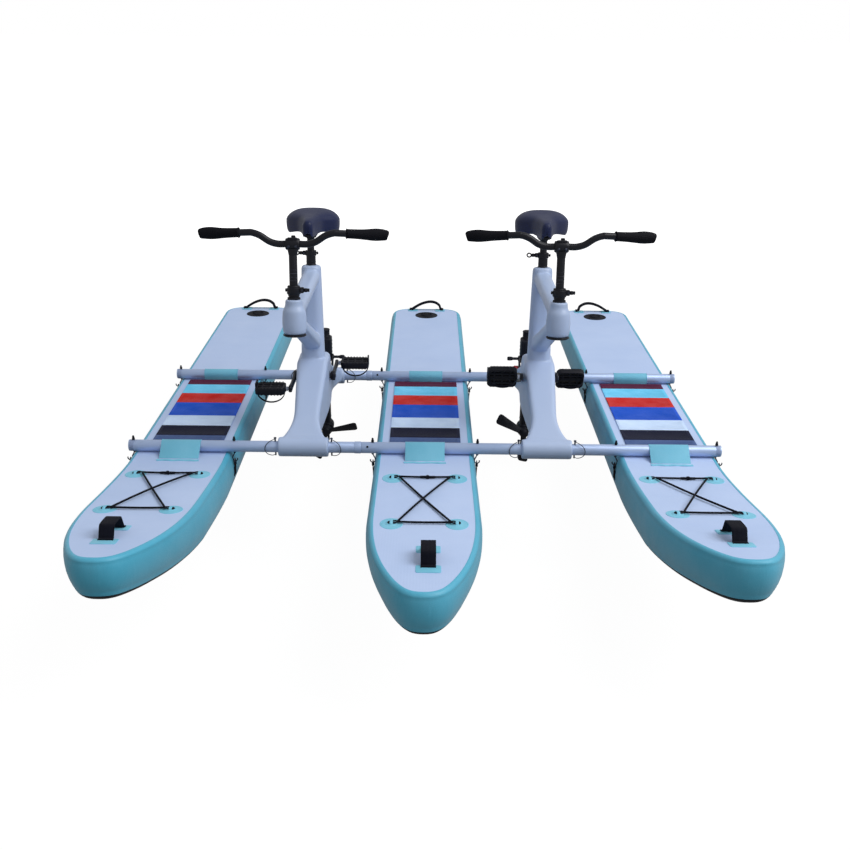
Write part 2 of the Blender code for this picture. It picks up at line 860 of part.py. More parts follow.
def make_seat_clamp():
    """The black sleeve in the column's mouth, with its split collar and lever lug, in seat axes."""
    top = seat_collar_top
    shoulder = top - seat_collar_height
    body = turned([
        (seat_collar_radius, top), (seat_collar_radius, shoulder), (sleeve_radius, shoulder),
        (sleeve_radius, -seat_sleeve_depth), (post_radius + gap, -seat_sleeve_depth), (post_radius + gap, top),
    ], beam_sides, closed=True)
    lug = block((-seat_collar_radius - lug_reach, -0.008, shoulder + 0.002),
                (-seat_collar_radius + 0.003, 0.008, top - 0.002))
    return fused(body, lug)


def lever(direction):
    """A cam lever that lies flat, pivoting about Z at its own origin."""
    cam = rod((0, 0, -lever_width / 2), (0, 0, lever_width / 2), cam_radius, 10)
    tip = direction * lever_length
    low = (min(0, tip), -0.003, -lever_width / 2 + 0.001)
    return fused(cam, block(low, (max(0, tip), 0.004, lever_width / 2 - 0.001)))


def make_seat_post():
    """Post and the head that the saddle rails lie on, in seat axes. The head is level."""
    top = seat_collar_top + post_exposed
    foot = -seat_sleeve_depth - post_insertion + seat_travel_down
    post = rod((0, 0, foot), (0, 0, top - seat_head_height / 2), post_radius)
    low = (-seat_head_width / 2, -seat_head_length / 2, -seat_head_height)
    head = block(low, (seat_head_width / 2, seat_head_length / 2, 0), 0.003)
    return fused(post, moved(head, at(0, 0, top) @ Matrix.Rotation(seat_tilt, 4, "X")))


def make_saddle():
    """The saddle on its two rails, nose to the bow, with the rails' underside at z = 0."""
    shape = (
        (-0.50, 0.09, 0.55), (-0.46, 0.17, 0.70), (-0.28, 0.24, 0.85), (-0.08, 0.42, 0.92),
        (0.12, 0.78, 0.96), (0.30, 0.98, 1.0), (0.43, 0.86, 0.95), (0.50, 0.52, 0.70),
    )
    sections = []
    for place_along, width, height in shape:
        y = saddle_setback + place_along * saddle_length
        half_height = saddle_height * height / 2
        middle = (0, y, rail_space + saddle_height - half_height)
        sections.append(round_section(middle, saddle_width * width / 2, half_height, corner=0.022))
    return fused(loft(sections), rail(-1), rail(1))


def rail(side):
    """One steel rail, level over the post's head, with both ends let into the shell."""
    x = side * rail_spacing / 2
    inside = rail_space + saddle_height * 0.4
    return wire([(x, rail_front, inside), (x, rail_front * 0.6, rail_radius * 0.8),
                 (x, rail_rear * 0.6, rail_radius * 0.8), (x, rail_rear, inside)], rail_radius, 1)


def make_steerer():
    """Steering tube with its lower flange and the split collar on top, in head axes."""
    base = head_half_height + gap
    top = base + stem_collar_height
    collar = base + stem_neck_height
    flange = -head_half_height - gap
    bore = bar_post_radius + gap
    body = turned([
        (stem_collar_radius, top), (stem_collar_radius, collar), (stem_neck_radius, collar),
        (stem_neck_radius, base), (steerer_radius, base), (steerer_radius, flange),
        (headset_flange_radius, flange),
        (headset_flange_radius - 0.004, flange - headset_flange_height),
        (bore, flange - headset_flange_height), (bore, top),
    ], beam_sides, closed=True)
    lug = block((stem_collar_radius - 0.003, -0.009, collar + 0.005),
                (stem_collar_radius + lug_reach, 0.009, top - 0.004))
    return fused(body, lug)


def make_bar_post():
    """The telescopic post with the handlebar clamp on top, in head axes."""
    foot = head_half_height + stem_collar_height - bar_post_insertion
    post = rod((0, 0, foot), (0, 0, bar_height - bar_radius - 0.004), bar_post_radius)
    half = clamp_width / 2
    clamp = rod((-half, 0, bar_height), (half, 0, bar_height), clamp_radius)
    body = fused(clamp, post)
    return cut(body, rod((-clamp_width, 0, bar_height), (clamp_width, 0, bar_height), bar_radius + running))


def bar_points(side):
    """One half of the bar, centre line from the clamp outwards."""
    z = bar_height
    return [
        (side * 0.020, 0, z), (side * 0.050, 0, z), (side * 0.078, -0.001, z + 0.008),
        (side * 0.108, -0.002, z + bar_rise * 0.75), (side * 0.135, 0.000, z + bar_rise),
    ]


def grip_ends(side):
    start = Vector((side * 0.160, 0.004, bar_height + bar_rise))
    end = Vector((side * bar_half_width, bar_backsweep, bar_height + bar_rise - bar_end_drop))
    return start, end


def make_handlebar():
    left_start, left_end = grip_ends(-1)
    right_start, right_end = grip_ends(1)
    half = [*bar_points(1), right_start]
    mirrored = [*bar_points(-1), left_start]
    points = [left_end, *reversed(mirrored), *half, right_end]
    return fused(wire(points, bar_radius, 2), grip(-1), grip(1))


def grip(side):
    """A closed rubber tube over the end of the bar, wider where the palm rests."""
    start, end = grip_ends(side)
    direction = (end - start).normalized()
    inner_end = end - direction * (grip_length - 0.005)
    return rod(inner_end, end + direction * 0.005, grip_radius * 0.9, 12, grip_radius)


# Crank set

def crank_axle():
    """Axle and bevel gear, about X, centred on the bottom bracket."""
    half = axle_half_length + 0.004
    gear = gear_width / 2
    body = turned([
        (0, half), (crank_axle_radius, half), (crank_axle_radius, gear + 0.001), (gear_radius, gear),
        (gear_radius, -gear), (crank_axle_radius, -gear - 0.001), (crank_axle_radius, -half), (0, -half),
    ], 12)
    return moved(body, Matrix.Rotation(pi / 2, 4, "Y"))


def crank_arm(side):
    """An arm in the YZ plane: its pedal end is behind at +X and ahead at -X."""
    lean = asin((arm_big_radius - arm_small_radius) / crank_length)
    big = arc(arm_big_radius, pi / 2 + lean, 3 * pi / 2 - lean, 6)
    small = arc(arm_small_radius, -pi / 2 - lean + pi, pi / 2 + lean - pi, 5, (crank_length, 0))
    outline = big + [(x, z) for x, z in reversed(small)]
    arm = extruded(outline, arm_thickness / 2, [(crank_length, 0, pedal_axle_radius + running)])
    if side < 0:
        moved(arm, Matrix.Rotation(pi, 4, "Z"))
    middle = side * (axle_half_length + arm_thickness / 2)
    return moved(arm, at(middle, 0, 0) @ sideways())


def make_crank_set():
    return fused(crank_axle(), crank_arm(1), crank_arm(-1))


def make_pedal(side):
    """Platform with its axle, about X, centred on the crank's bore."""
    start = arm_outer + pedal_offset
    inner, outer = sorted((side * start, side * (start + pedal_width)))
    platform = block((inner, -pedal_depth / 2, -pedal_thickness / 2),
                     (outer, pedal_depth / 2, pedal_thickness / 2), 0.004)
    axle = rod((side * (axle_half_length + 0.001), 0, 0), (side * (start + 0.01), 0, 0), pedal_axle_radius, 12)
    return fused(platform, axle, strap(side))


def strap(side):
    """The webbing band that hangs from one end of the platform to the other."""
    start = arm_outer + pedal_offset
    half = pedal_width / 2 - 0.002
    top = -pedal_thickness / 2 + 0.004
    angles = [pi + pi * step / 8 for step in range(9)]
    outer = [(half * cos(a), strap_drop * sin(a)) for a in angles]
    inner = [((half - strap_thickness) * cos(a), (strap_drop - strap_thickness) * sin(a))
             for a in reversed(angles)]
    band = extruded(outer + inner, strap_width / 2)
    moved(band, Matrix.Rotation(pi / 2, 4, "X"))
    return moved(band, at(side * (start + pedal_width / 2), 0, top))


# Drive

def make_drive_bracket():
    """The black plate behind the rear housing, with the two ears of the tilt pivot."""
    back = rear_beam_y + housing_radius + gap
    inner = head_block_width / 2 + ear_gap
    outer = inner + ear_thickness
    plate = block((-outer, back, beam_z - 0.022), (outer, back + 0.008, beam_z + 0.040))
    ears = []
    foot_low, foot_high = (back, beam_z - 0.022), (back, beam_z + 0.040)
    for side in (-1, 1):
        nose = arc(ear_radius, -0.45, pi * 0.72, 8, (pivot.y, pivot.z))
        outline = [foot_low, (back + 0.016, beam_z - 0.022), *nose, foot_high]
        stud_y, stud_z = knob_place()
        holes = [(pivot.y, pivot.z, pivot_radius + running)]
        if side < 0:
            holes.append((stud_y, stud_z, knob_stud_radius + running))
        ear = extruded(outline, ear_thickness / 2, holes)
        ears.append(moved(ear, at(side * (inner + ear_thickness / 2), 0, 0) @ sideways()))
    return fused(plate, *ears)


def knob_place():
    return (rear_beam_y + housing_radius + 0.020, beam_z + 0.020)


def make_lock_knob():
    """A lobed knob with its stud, about X, centred where the stud enters the ear."""
    lobes = [(knob_radius * (1 + 0.12 * cos(5 * a)) * cos(a), knob_radius * (1 + 0.12 * cos(5 * a)) * sin(a))
             for a in [2 * pi * step / 20 for step in range(20)]]
    body = extruded(lobes, knob_thickness / 2)
    moved(body, at(-knob_thickness / 2 - 0.001, 0, 0) @ sideways())
    stud = rod((-0.005, 0, 0), (ear_thickness - 0.0005, 0, 0), knob_stud_radius, 10)
    return fused(body, stud)


def make_drive_head():
    """The tilting block on its cross bar, centred on the tilt pivot."""
    half = head_block_width / 2
    front = pivot.y - 0.013
    low = Vector((-half, front, head_block_bottom)) - pivot
    high = Vector((half, front + head_block_depth, head_block_top)) - pivot
    body = block(low, high, 0.004)
    reach = pivot_bar_length / 2
    bar = rod((-reach, 0, 0), (reach, 0, 0), pivot_radius, 12)
    body = fused(body, bar)
    depth = head_block_top - head_block_bottom
    bore = rod((0, swivel_behind_pivot, -depth), (0, swivel_behind_pivot, depth * 2), swivel_radius + running, 14)
    return cut(body, bore)


def make_drive_leg():
    """Swivel shaft, foil, gear case and skeg, in bike axes but centred on the swivel's axis."""
    cap_low = head_block_top + gap
    shaft = rod((0, 0, leg_top - 0.01), (0, 0, cap_low + 0.001), swivel_radius, 14)
    cap = rod((0, 0, cap_low), (0, 0, cap_low + 0.007), leg_cap_radius, 14)
    case = rod((0, -gearcase_front, prop_height), (0, gearcase_rear * 0.55, prop_height), gearcase_radius, 12)
    tail = rod((0, gearcase_rear * 0.5, prop_height), (0, gearcase_rear, prop_height), gearcase_radius, 12, 0.008)
    skeg_outline = [(-0.010, prop_height), (0.050, prop_height),
                    (0.045, prop_height - gearcase_radius - skeg_depth),
                    (0.020, prop_height - gearcase_radius - skeg_depth)]
    skeg = moved(extruded(skeg_outline, 0.004), sideways())
    body = fused(foil(), shaft, cap, case, tail, skeg)
    bore = prop_shaft_radius + running
    body = cut(body, rod((0, -gearcase_front - 0.01, prop_height), (0, 0.008, prop_height), bore, 12))
    bore = drive_shaft_radius + running
    return cut(body, rod((0, 0, prop_height), (0, 0, head_block_top - 0.004), bore, 12))


def make_drive_shaft():
    """The upright shaft inside the leg, about Z, that brings the crank's turning to the gear case."""
    foot = prop_height + prop_shaft_radius + 0.003
    return rod((0, 0, foot), (0, 0, head_block_top - 0.006), drive_shaft_radius, 12)


def foil():
    """The leg's lens-shaped section, from the swivel down into the gear case."""
    outline = []
    for x, y in ((0, -1), (0.75, -0.5), (1, 0.1), (0.6, 0.6), (0, 1), (-0.6, 0.6), (-1, 0.1), (-0.75, -0.5)):
        chord = leg_front_chord if y < 0 else leg_rear_chord
        outline.append((x * leg_half_thickness, y * chord))
    return loft([[Vector((x, y, z)) for x, y in outline] for z in (prop_height, leg_top)])


def make_propeller():
    """Three paddle blades on a hub with its shaft, about Y, centred on the hub."""
    half = prop_hub_length / 2
    hub = turned([
        (0, half), (prop_hub_radius, half), (prop_hub_radius, -half * 0.5), (prop_hub_radius * 0.6, -half * 0.92),
        (0, -half),
    ], 12)
    moved(hub, Matrix.Rotation(-pi / 2, 4, "X"))
    shaft = rod((0, half - 0.002, 0), (0, half + gearcase_front + 0.004, 0), prop_shaft_radius, 12)
    body = fused(hub, shaft)
    root = prop_hub_radius * 0.5
    corner = 0.012
    tip = prop_radius - corner
    half_tip = blade_tip_chord / 2 - corner
    outline = [(root, -blade_root_chord / 2), *arc(corner, -pi / 2, 0, 3, (tip, -half_tip)),
               *arc(corner, 0, pi / 2, 3, (tip, half_tip)), (root, blade_root_chord / 2)]
    for index in range(3):
        blade = extruded(outline, blade_thickness / 2)
        stand = Matrix.Rotation(pi / 2, 4, "X")
        pitch = Matrix.Rotation(blade_pitch, 4, "X")
        spin = Matrix.Rotation(-2 * pi * index / 3, 4, "Y")
        body = fused(body, moved(blade, spin @ pitch @ stand))
    return body


# The two bikes

def bike_pieces():
    """One mesh for each piece of a bike, with its look."""
    return {
        "frame": (make_frame(), "frame"),
        "drive_bracket": (make_drive_bracket(), "dark"),
        "bottom_bracket": (make_bottom_bracket(), "metal"),
        "seat_clamp": (make_seat_clamp(), "dark"),
        "seat_post": (make_seat_post(), "dark"),
        "saddle": (make_saddle(), "leather"),
        "seat_lever": (lever(-1), "dark"),
        "steerer": (make_steerer(), "dark"),
        "bar_post": (make_bar_post(), "dark"),
        "handlebar": (make_handlebar(), "dark"),
        "bar_lever": (lever(1), "dark"),
        "crank_set": (make_crank_set(), "dark"),
        "pedal_plus_x": (make_pedal(1), "dark"),
        "pedal_minus_x": (make_pedal(-1), "dark"),
        "drive_head": (make_drive_head(), "dark"),
        "drive_leg": (make_drive_leg(), "dark"),
        "drive_shaft": (make_drive_shaft(), "metal"),
        "propeller": (make_propeller(), "dark"),
        "lock_knob": (make_lock_knob(), "knob"),
    }


def bike_plan(side, bike, seat, head):
    """Where each piece goes: its parent, its place there and its turn."""
    crank_turn = radians(crank_angles[side])
    pedal_turn = (radians(pedal_angles[side]), 0, 0)
    pedal_reach = Vector((0, cos(crank_turn), sin(crank_turn))) * crank_length
    lever_z = seat_collar_top - seat_collar_height / 2
    seat_lever_x = -seat_collar_radius - lug_reach - gap - cam_radius
    bar_lever_x = stem_collar_radius + lug_reach + gap + cam_radius
    bar_lever_z = head_half_height + gap + (stem_neck_height + stem_collar_height) / 2
    saddle_z = seat_collar_top + post_exposed + gap
    ear_outer = head_block_width / 2 + ear_gap + ear_thickness
    spin = (0, -radians(propeller_angles[side]), 0)
    straight = (0, 0, 0)
    return {
        "frame": (bike, straight, straight),
        "drive_bracket": (bike, straight, straight),
        "bottom_bracket": (bike, bb, straight),
        "seat_clamp": (seat, straight, straight),
        "seat_post": (seat, straight, straight),
        "saddle": (seat, (0, 0, saddle_z), (seat_tilt, 0, 0)),
        "seat_lever": (seat, (seat_lever_x, 0, lever_z), straight),
        "steerer": (head, straight, straight),
        "bar_post": (head, straight, straight),
        "handlebar": (head, straight, straight),
        "bar_lever": (head, (bar_lever_x, 0, bar_lever_z), straight),
        "crank_set": (bike, bb, (crank_turn, 0, 0)),
        "pedal_plus_x": (bike, bb + pedal_reach, pedal_turn),
        "pedal_minus_x": (bike, bb - pedal_reach, pedal_turn),
        "drive_head": (bike, pivot, straight),
        "drive_leg": (bike, (0, swivel_y, 0), straight),
        "drive_shaft": (bike, (0, swivel_y, 0), straight),
        "propeller": (bike, (0, prop_y, prop_height), spin),
        "lock_knob": (bike, (-ear_outer, *knob_place()), straight),
    }


def make_bikes():
    pieces = bike_pieces()
    for side, centre in bike_centres.items():
        bike = empty(f"bike_{side}", (centre, 0, 0))
        seat = empty(f"seat_axis_{side}", seat_point, (-seat_tilt, 0, 0), bike)
        head = empty(f"head_axis_{side}", head_point, (-head_rake, 0, 0), bike)
        for name, (parent, location, rotation) in bike_plan(side, bike, seat, head).items():
            piece, look = pieces[name]
            copy = bpy.data.objects.new("copy", piece.data.copy())
            cutters.objects.link(copy)
            place(keep(f"{name}_{side}", copy, look), parent, location, rotation)
    for piece, _ in pieces.values():
        bpy.data.objects.remove(piece, do_unlink=True)


clear_scene()
make_pontoons()
make_pads()
make_bungee_cords()
make_bow_handles()
make_beams()
make_sleeves()
make_bikes()
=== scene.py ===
from math import atan2, cos, degrees, pi, radians, sin, sqrt

import bmesh
import bpy
from mathutils import Matrix, Vector


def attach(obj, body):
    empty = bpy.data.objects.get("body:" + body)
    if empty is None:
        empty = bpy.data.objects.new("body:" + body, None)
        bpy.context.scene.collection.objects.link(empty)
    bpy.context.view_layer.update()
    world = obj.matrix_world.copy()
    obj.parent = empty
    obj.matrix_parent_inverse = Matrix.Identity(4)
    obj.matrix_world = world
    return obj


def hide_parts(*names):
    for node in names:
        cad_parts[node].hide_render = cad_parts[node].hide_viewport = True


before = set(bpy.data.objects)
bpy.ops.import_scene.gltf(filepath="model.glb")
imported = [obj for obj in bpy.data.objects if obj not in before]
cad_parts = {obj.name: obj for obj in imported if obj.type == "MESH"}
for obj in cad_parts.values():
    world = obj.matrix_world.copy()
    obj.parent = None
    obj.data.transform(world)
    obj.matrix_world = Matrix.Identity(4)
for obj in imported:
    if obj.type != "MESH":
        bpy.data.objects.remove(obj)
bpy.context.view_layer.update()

# bow points to -Y, left is at -X, metres throughout
boardX = {"left": -0.9, "middle": 0.0, "right": 0.9}
bikeX = {"left": -0.45, "right": 0.45}
beamY = {"front": -0.475, "rear": 0.375}
beamZ = 0.1732
beamRadius = 0.021


# small tools

# stands an outline drawn flat in XY up in the YZ plane
upright = Matrix(((0, 0, 1, 0), (1, 0, 0, 0), (0, 1, 0, 0), (0, 0, 0, 1)))


def shift(x, y, z):
    return Matrix.Translation((x, y, z))


def turn(angle, axis):
    return Matrix.Rotation(radians(angle), 4, axis)


def spread(start, end, count):
    return [start + (end - start) * (step / count) for step in range(count + 1)]


def only(items, kind):
    return [item for item in items if isinstance(item, kind)]


def join(target, part, place=Matrix(), look=None):
    bmesh.ops.transform(part, matrix=place, verts=part.verts)
    if look is not None:
        for face in part.faces:
            face.material_index = look
    mesh = bpy.data.meshes.new("part")
    part.to_mesh(mesh)
    part.free()
    target.from_mesh(mesh)
    bpy.data.meshes.remove(mesh)
    return target


def eased(bm, width, segments=2, edges=None):
    # rounds the given edges, or else those that lie level
    edges = edges or [edge for edge in bm.edges if abs(edge.verts[0].co.z - edge.verts[1].co.z) < 1e-6]
    bmesh.ops.bevel(bm, geom=edges, offset=width, segments=segments, affect="EDGES", profile=0.5, material=-1)
    return bm


def box(size, bevel, segments=2):
    bm = bmesh.new()
    bmesh.ops.create_cube(bm, size=1)
    bmesh.ops.scale(bm, vec=size, verts=bm.verts)
    return eased(bm, bevel, segments, bm.edges[:])


def bar(start, end, radius, sides=24, bevel=0.0):
    start, end = Vector(start), Vector(end)
    bm = bmesh.new()
    bmesh.ops.create_cone(bm, cap_ends=True, segments=sides, radius1=radius, radius2=radius,
                          depth=(end - start).length)
    if bevel:
        eased(bm, bevel)
    way = Vector((0, 0, 1)).rotation_difference(end - start).to_matrix().to_4x4()
    bmesh.ops.transform(bm, matrix=Matrix.Translation((start + end) / 2) @ way, verts=bm.verts)
    return bm


def post(low, high, radius, sides, bevel=0.0):
    return bar((0, 0, low), (0, 0, high), radius, sides, bevel)


def rod(half, y, z, radius, sides=24, bevel=0.0):
    return bar((-half, y, z), (half, y, z), radius, sides, bevel)


def spun(profile, steps=48, closed=False):
    bm = bmesh.new()
    verts = [bm.verts.new((radius, 0, height)) for radius, height in profile]
    edges = [bm.edges.new(pair) for pair in zip(verts, verts[1:])]
    if closed:
        edges.append(bm.edges.new((verts[-1], verts[0])))
    bmesh.ops.spin(bm, geom=verts + edges, cent=(0, 0, 0), axis=(0, 0, 1), angle=2 * pi, steps=steps,
                   use_merge=True)
    bmesh.ops.remove_doubles(bm, verts=bm.verts, dist=1e-6)
    bmesh.ops.recalc_face_normals(bm, faces=bm.faces)
    return bm


def loft(rings, looks=None, capped=True, lengths=None):
    bm = bmesh.new()
    count = len(rings[0])
    verts = [bm.verts.new(point) for point in rings[0]]
    edges = [bm.edges.new((verts[j], verts[(j + 1) % count])) for j in range(count)]
    spot = {vert: (0, j) for j, vert in enumerate(verts)}
    if capped:
        bm.faces.new(verts).material_index = looks[0] if looks else 0
    for index, ring in enumerate(rings[1:]):
        order = {vert.co.to_tuple(6): j for j, vert in enumerate(verts)}
        made = bmesh.ops.extrude_edge_only(bm, edges=edges)["geom"]
        fresh = only(made, bmesh.types.BMVert)
        places = {vert: order[vert.co.to_tuple(6)] for vert in fresh}
        verts = sorted(fresh, key=places.get)
        for vert, j in places.items():
            spot[vert] = (index + 1, j)
            vert.co = ring[j]
        known = set(fresh)
        edges = [edge for edge in only(made, bmesh.types.BMEdge) if known.issuperset(edge.verts)]
        if looks:
            for face in only(made, bmesh.types.BMFace):
                face.material_index = looks[index]
    if lengths:
        layer = bm.loops.layers.uv.new("UVMap")
        for face in bm.faces:
            columns = [spot[loop.vert][1] for loop in face.loops]
            wraps = max(columns) - min(columns) > 1
            for loop in face.loops:
                row, column = spot[loop.vert]
                loop[layer].uv = ((count if wraps and column == 0 else column) / count, lengths[row])
    if capped:
        bm.faces.new(verts).material_index = looks[-1] if looks else 0
    bmesh.ops.recalc_face_normals(bm, faces=bm.faces)
    return bm


def rounded(halfWidth, halfHeight, corner, steps):
    corner = min(corner, 0.98 * halfWidth, 0.98 * halfHeight)
    points = []
    for quarter in range(4):
        x = (halfWidth - corner) * (1 if quarter in (0, 3) else -1)
        y = (halfHeight - corner) * (1 if quarter in (0, 1) else -1)
        for step in range(steps + 1):
            angle = (quarter + step / steps) * pi / 2
            points.append((x + corner * cos(angle), y + corner * sin(angle)))
    return points


def circle(radius, sides):
    return [(radius * cos(2 * pi * j / sides), radius * sin(2 * pi * j / sides)) for j in range(sides)]


def smoothPath(points, steps):
    points = [Vector(point) for point in points]
    held = [points[0], *points, points[-1]]
    path = []
    for a, b, c, d in zip(held, held[1:], held[2:], held[3:]):
        for step in range(steps):
            t = step / steps
            bend = (2 * a - 5 * b + 4 * c - d) * t * t + (3 * b - 3 * c + d - a) * t ** 3
            path.append(b + ((c - a) * t + bend) / 2)
    return path + [points[-1]]


def sweep(path, section, scales=None, up=None, across=None, closed=False):
    path = [Vector(point) for point in path]
    count = len(path)
    rings, lengths, normal, length = [], [], None, 0.0
    for index, point in enumerate(path):
        before = path[index - 1] if index or closed else point
        after = path[(index + 1) % count] if index + 1 < count or closed else point
        along = (after - before).normalized()
        if across is not None:
            normal = Vector(across).cross(along)
        elif up is not None:
            normal = Vector(up)
        elif normal is None:
            normal = Vector((0, 0, 1)) if abs(along.z) < 0.9 else Vector((0, 1, 0))
        normal = (normal - along * normal.dot(along)).normalized()
        side = along.cross(normal)
        wide, high = scales[index] if scales else (1, 1)
        rings.append([point + side * (u * wide) + normal * (v * high) for u, v in section])
        length += (point - path[index - 1]).length if index else 0
        lengths.append(length)
    if closed:
        rings.append([Vector(point) for point in rings[0]])
        lengths.append(length + (path[0] - path[-1]).length)
    bm = loft(rings, capped=not closed, lengths=lengths)
    if closed:
        bmesh.ops.remove_doubles(bm, verts=bm.verts, dist=1e-6)
        bmesh.ops.recalc_face_normals(bm, faces=bm.faces)
    return bm


def plate(outline, thickness, bevel, segments=2):
    bm = bmesh.new()
    face = bm.faces.new([bm.verts.new((x, y, -thickness / 2)) for x, y in outline])
    made = bmesh.ops.extrude_face_region(bm, geom=[face])["geom"]
    bmesh.ops.translate(bm, vec=(0, 0, thickness), verts=only(made, bmesh.types.BMVert))
    bmesh.ops.recalc_face_normals(bm, faces=bm.faces)
    return eased(bm, bevel, segments)


def linked(name, bm):
    mesh = bpy.data.meshes.new(name)
    bm.to_mesh(mesh)
    bm.free()
    obj = bpy.data.objects.new(name, mesh)
    bpy.context.scene.collection.objects.link(obj)
    return obj


def melted(bm, voxel, rounds, cutters):
    # one skin over all the parts, smoothed, then cut
    work = linked("melt", bm)
    grid = work.modifiers.new("grid", "REMESH")
    grid.mode = "VOXEL"
    grid.voxel_size = voxel
    ease = work.modifiers.new("ease", "SMOOTH")
    ease.factor = 0.5
    ease.iterations = rounds
    tools = [linked("cutter", cutter) for cutter in cutters]
    for tool in tools:
        cut = work.modifiers.new("cut", "BOOLEAN")
        cut.operation = "DIFFERENCE"
        cut.solver = "MANIFOLD"
        cut.object = tool
    bpy.context.view_layer.update()
    mesh = bpy.data.meshes.new_from_object(work.evaluated_get(bpy.context.evaluated_depsgraph_get()))
    for obj in (work, *tools):
        bpy.data.objects.remove(obj, do_unlink=True)
    bm = bmesh.new()
    bm.from_mesh(mesh)
    bpy.data.meshes.remove(mesh)
    return bm


def piece(name, side, part, place, body, finishes, node=None, sharp=40, subdivide=0):
    # on the craft, or on this side's moving body, and in place of this side's node
    obj = linked(f"{name}_{side}", join(bmesh.new(), part, place))
    for look in finishes:
        obj.data.materials.append(look)
    obj.data.shade_smooth()
    obj.data.set_sharp_from_angle(angle=radians(sharp))
    if subdivide:
        finer = obj.modifiers.new("finer", "SUBSURF")
        finer.levels = finer.render_levels = subdivide
    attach(obj, body if body == "craft" else f"{body}_{side}")
    if node:
        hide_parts(f"{node}_{side}")
    return obj


# finishes

def tone(red, green, blue):
    parts = [value / 255 for value in (red, green, blue)]
    return (*[((part + 0.055) / 1.055) ** 2.4 if part > 0.04 else part / 12.92 for part in parts], 1)


def put(tree, kind, inputs=None, **settings):
    made = tree.nodes.new(kind)
    for key, value in settings.items():
        setattr(made, key, value)
    for key, value in (inputs or {}).items():
        if isinstance(value, bpy.types.NodeSocket):
            tree.links.new(value, made.inputs[key])
        else:
            made.inputs[key].default_value = value
    return made


def calc(tree, operation, first, second=0.0, third=0.0):
    return put(tree, "ShaderNodeMath", {0: first, 1: second, 2: third}, operation=operation).outputs[0]


def ranged(tree, value, low, high, start=0.0, end=1.0, **settings):
    return put(tree, "ShaderNodeMapRange", {"Value": value, "From Min": low, "From Max": high,
                                            "To Min": start, "To Max": end}, **settings).outputs[0]


def noise(tree, vector, scale, detail=2.0, roughness=0.5, distortion=0.0):
    return put(tree, "ShaderNodeTexNoise", {"Vector": vector, "Scale": scale, "Detail": detail,
                                            "Roughness": roughness, "Distortion": distortion}).outputs[0]


def blended(tree, share, first, second):
    return put(tree, "ShaderNodeMix", {0: share, 6: first, 7: second}, data_type="RGBA").outputs[2]


def stretched(tree, vector, *factors):
    return put(tree, "ShaderNodeVectorMath", {0: vector, 1: factors}, operation="MULTIPLY").outputs[0]


def split(tree, vector):
    return put(tree, "ShaderNodeSeparateXYZ", {0: vector}).outputs


def mottled(tree, given):
    mixed = calc(tree, "MULTIPLY_ADD", noise(tree, given["Vector"], 420.0), 0.35,
                 noise(tree, given["Vector"], given["Scale"], 5.0, 0.6))
    shades = []
    for saturation, way in ((1.06, "SUBTRACT"), (0.96, "ADD")):
        value = calc(tree, way, 1.0, given["Amount"])
        inputs = {"Color": given["Colour"], "Saturation": saturation, "Value": value}
        shades.append(put(tree, "ShaderNodeHueSaturation", inputs).outputs[0])
    return [blended(tree, ranged(tree, mixed, 0.45, 0.9), *shades)]


def speckled(tree, given):
    return noise(tree, given["Vector"], given["Scale"], 3.0), noise(tree, given["Vector"], 11.0, 6.0, 0.7)


def woven(tree, given):
    # plain weave: threads pass over and under each other
    parts = split(tree, given["Vector"])
    x, y = [calc(tree, "MULTIPLY", part, given[way]) for part, way in zip(parts, ("Across", "Along"))]
    warp, weft = [calc(tree, "ABSOLUTE", calc(tree, "SINE", calc(tree, "MULTIPLY", line, pi)))
                  for line in (x, y)]
    odd = calc(tree, "PINGPONG", calc(tree, "ADD", calc(tree, "FLOOR", x), calc(tree, "FLOOR", y)), 1.0)
    height = put(tree, "ShaderNodeMix", {0: odd, 2: warp, 3: weft}, data_type="FLOAT").outputs[0]
    # the mask marks the low threads, which finish darkens as painted shade
    return height, calc(tree, "SUBTRACT", 1.0, height)


def grooved(tree, given):
    # crossed diagonal grooves, as cut into foam deck pads
    parts = split(tree, given["Vector"])
    edges = []
    for way in ("ADD", "SUBTRACT"):
        line = calc(tree, "DIVIDE", calc(tree, way, parts[0], parts[1]), given["Pitch"])
        edges.append(calc(tree, "ABSOLUTE", calc(tree, "SUBTRACT", calc(tree, "FRACT", line), 0.5)))
    mask = ranged(tree, calc(tree, "MAXIMUM", *edges), calc(tree, "SUBTRACT", 0.5, given["Groove"]), 0.48,
                  interpolation_type="SMOOTHSTEP")
    # the mask marks the grooves, which finish darkens as painted shade
    return calc(tree, "SUBTRACT", 1.0, mask), mask


def dimpled(tree, given):
    # faint dimples where the drop stitch threads pull on the skin
    parts = split(tree, given["Vector"])
    waves = [calc(tree, "COSINE", calc(tree, "MULTIPLY", calc(tree, "DIVIDE", part, given["Pitch"]), 2 * pi))
             for part in parts[:2]]
    height = calc(tree, "MULTIPLY_ADD", calc(tree, "ADD", *waves), 0.25, 0.5)
    return height, calc(tree, "SUBTRACT", 1.0, height)


def drawn(tree, given):
    # fine lines along X, as on drawn and anodised tube
    along = stretched(tree, given["Vector"], 0.02, 1.0, 1.0)
    return noise(tree, along, given["Scale"]), noise(tree, along, 60.0, 3.0)


def rubbed(tree, given):
    point = put(tree, "ShaderNodeNewGeometry").outputs["Pointiness"]
    edge = ranged(tree, point, given["Reach"], calc(tree, "ADD", given["Reach"], 0.06))
    return [calc(tree, "MULTIPLY", edge, ranged(tree, noise(tree, given["Vector"], 60.0, 4.0), 0.5, 0.62))]


def puckered(tree, given):
    near = ranged(tree, split(tree, given["Vector"])[1], given["Start"], given["End"],
                  interpolation_type="SMOOTHSTEP")
    folds = noise(tree, stretched(tree, given["Vector"], 1.0, 1.0, 0.35), 24.0, 1.5, distortion=0.6)
    return [calc(tree, "MULTIPLY", folds, near)]


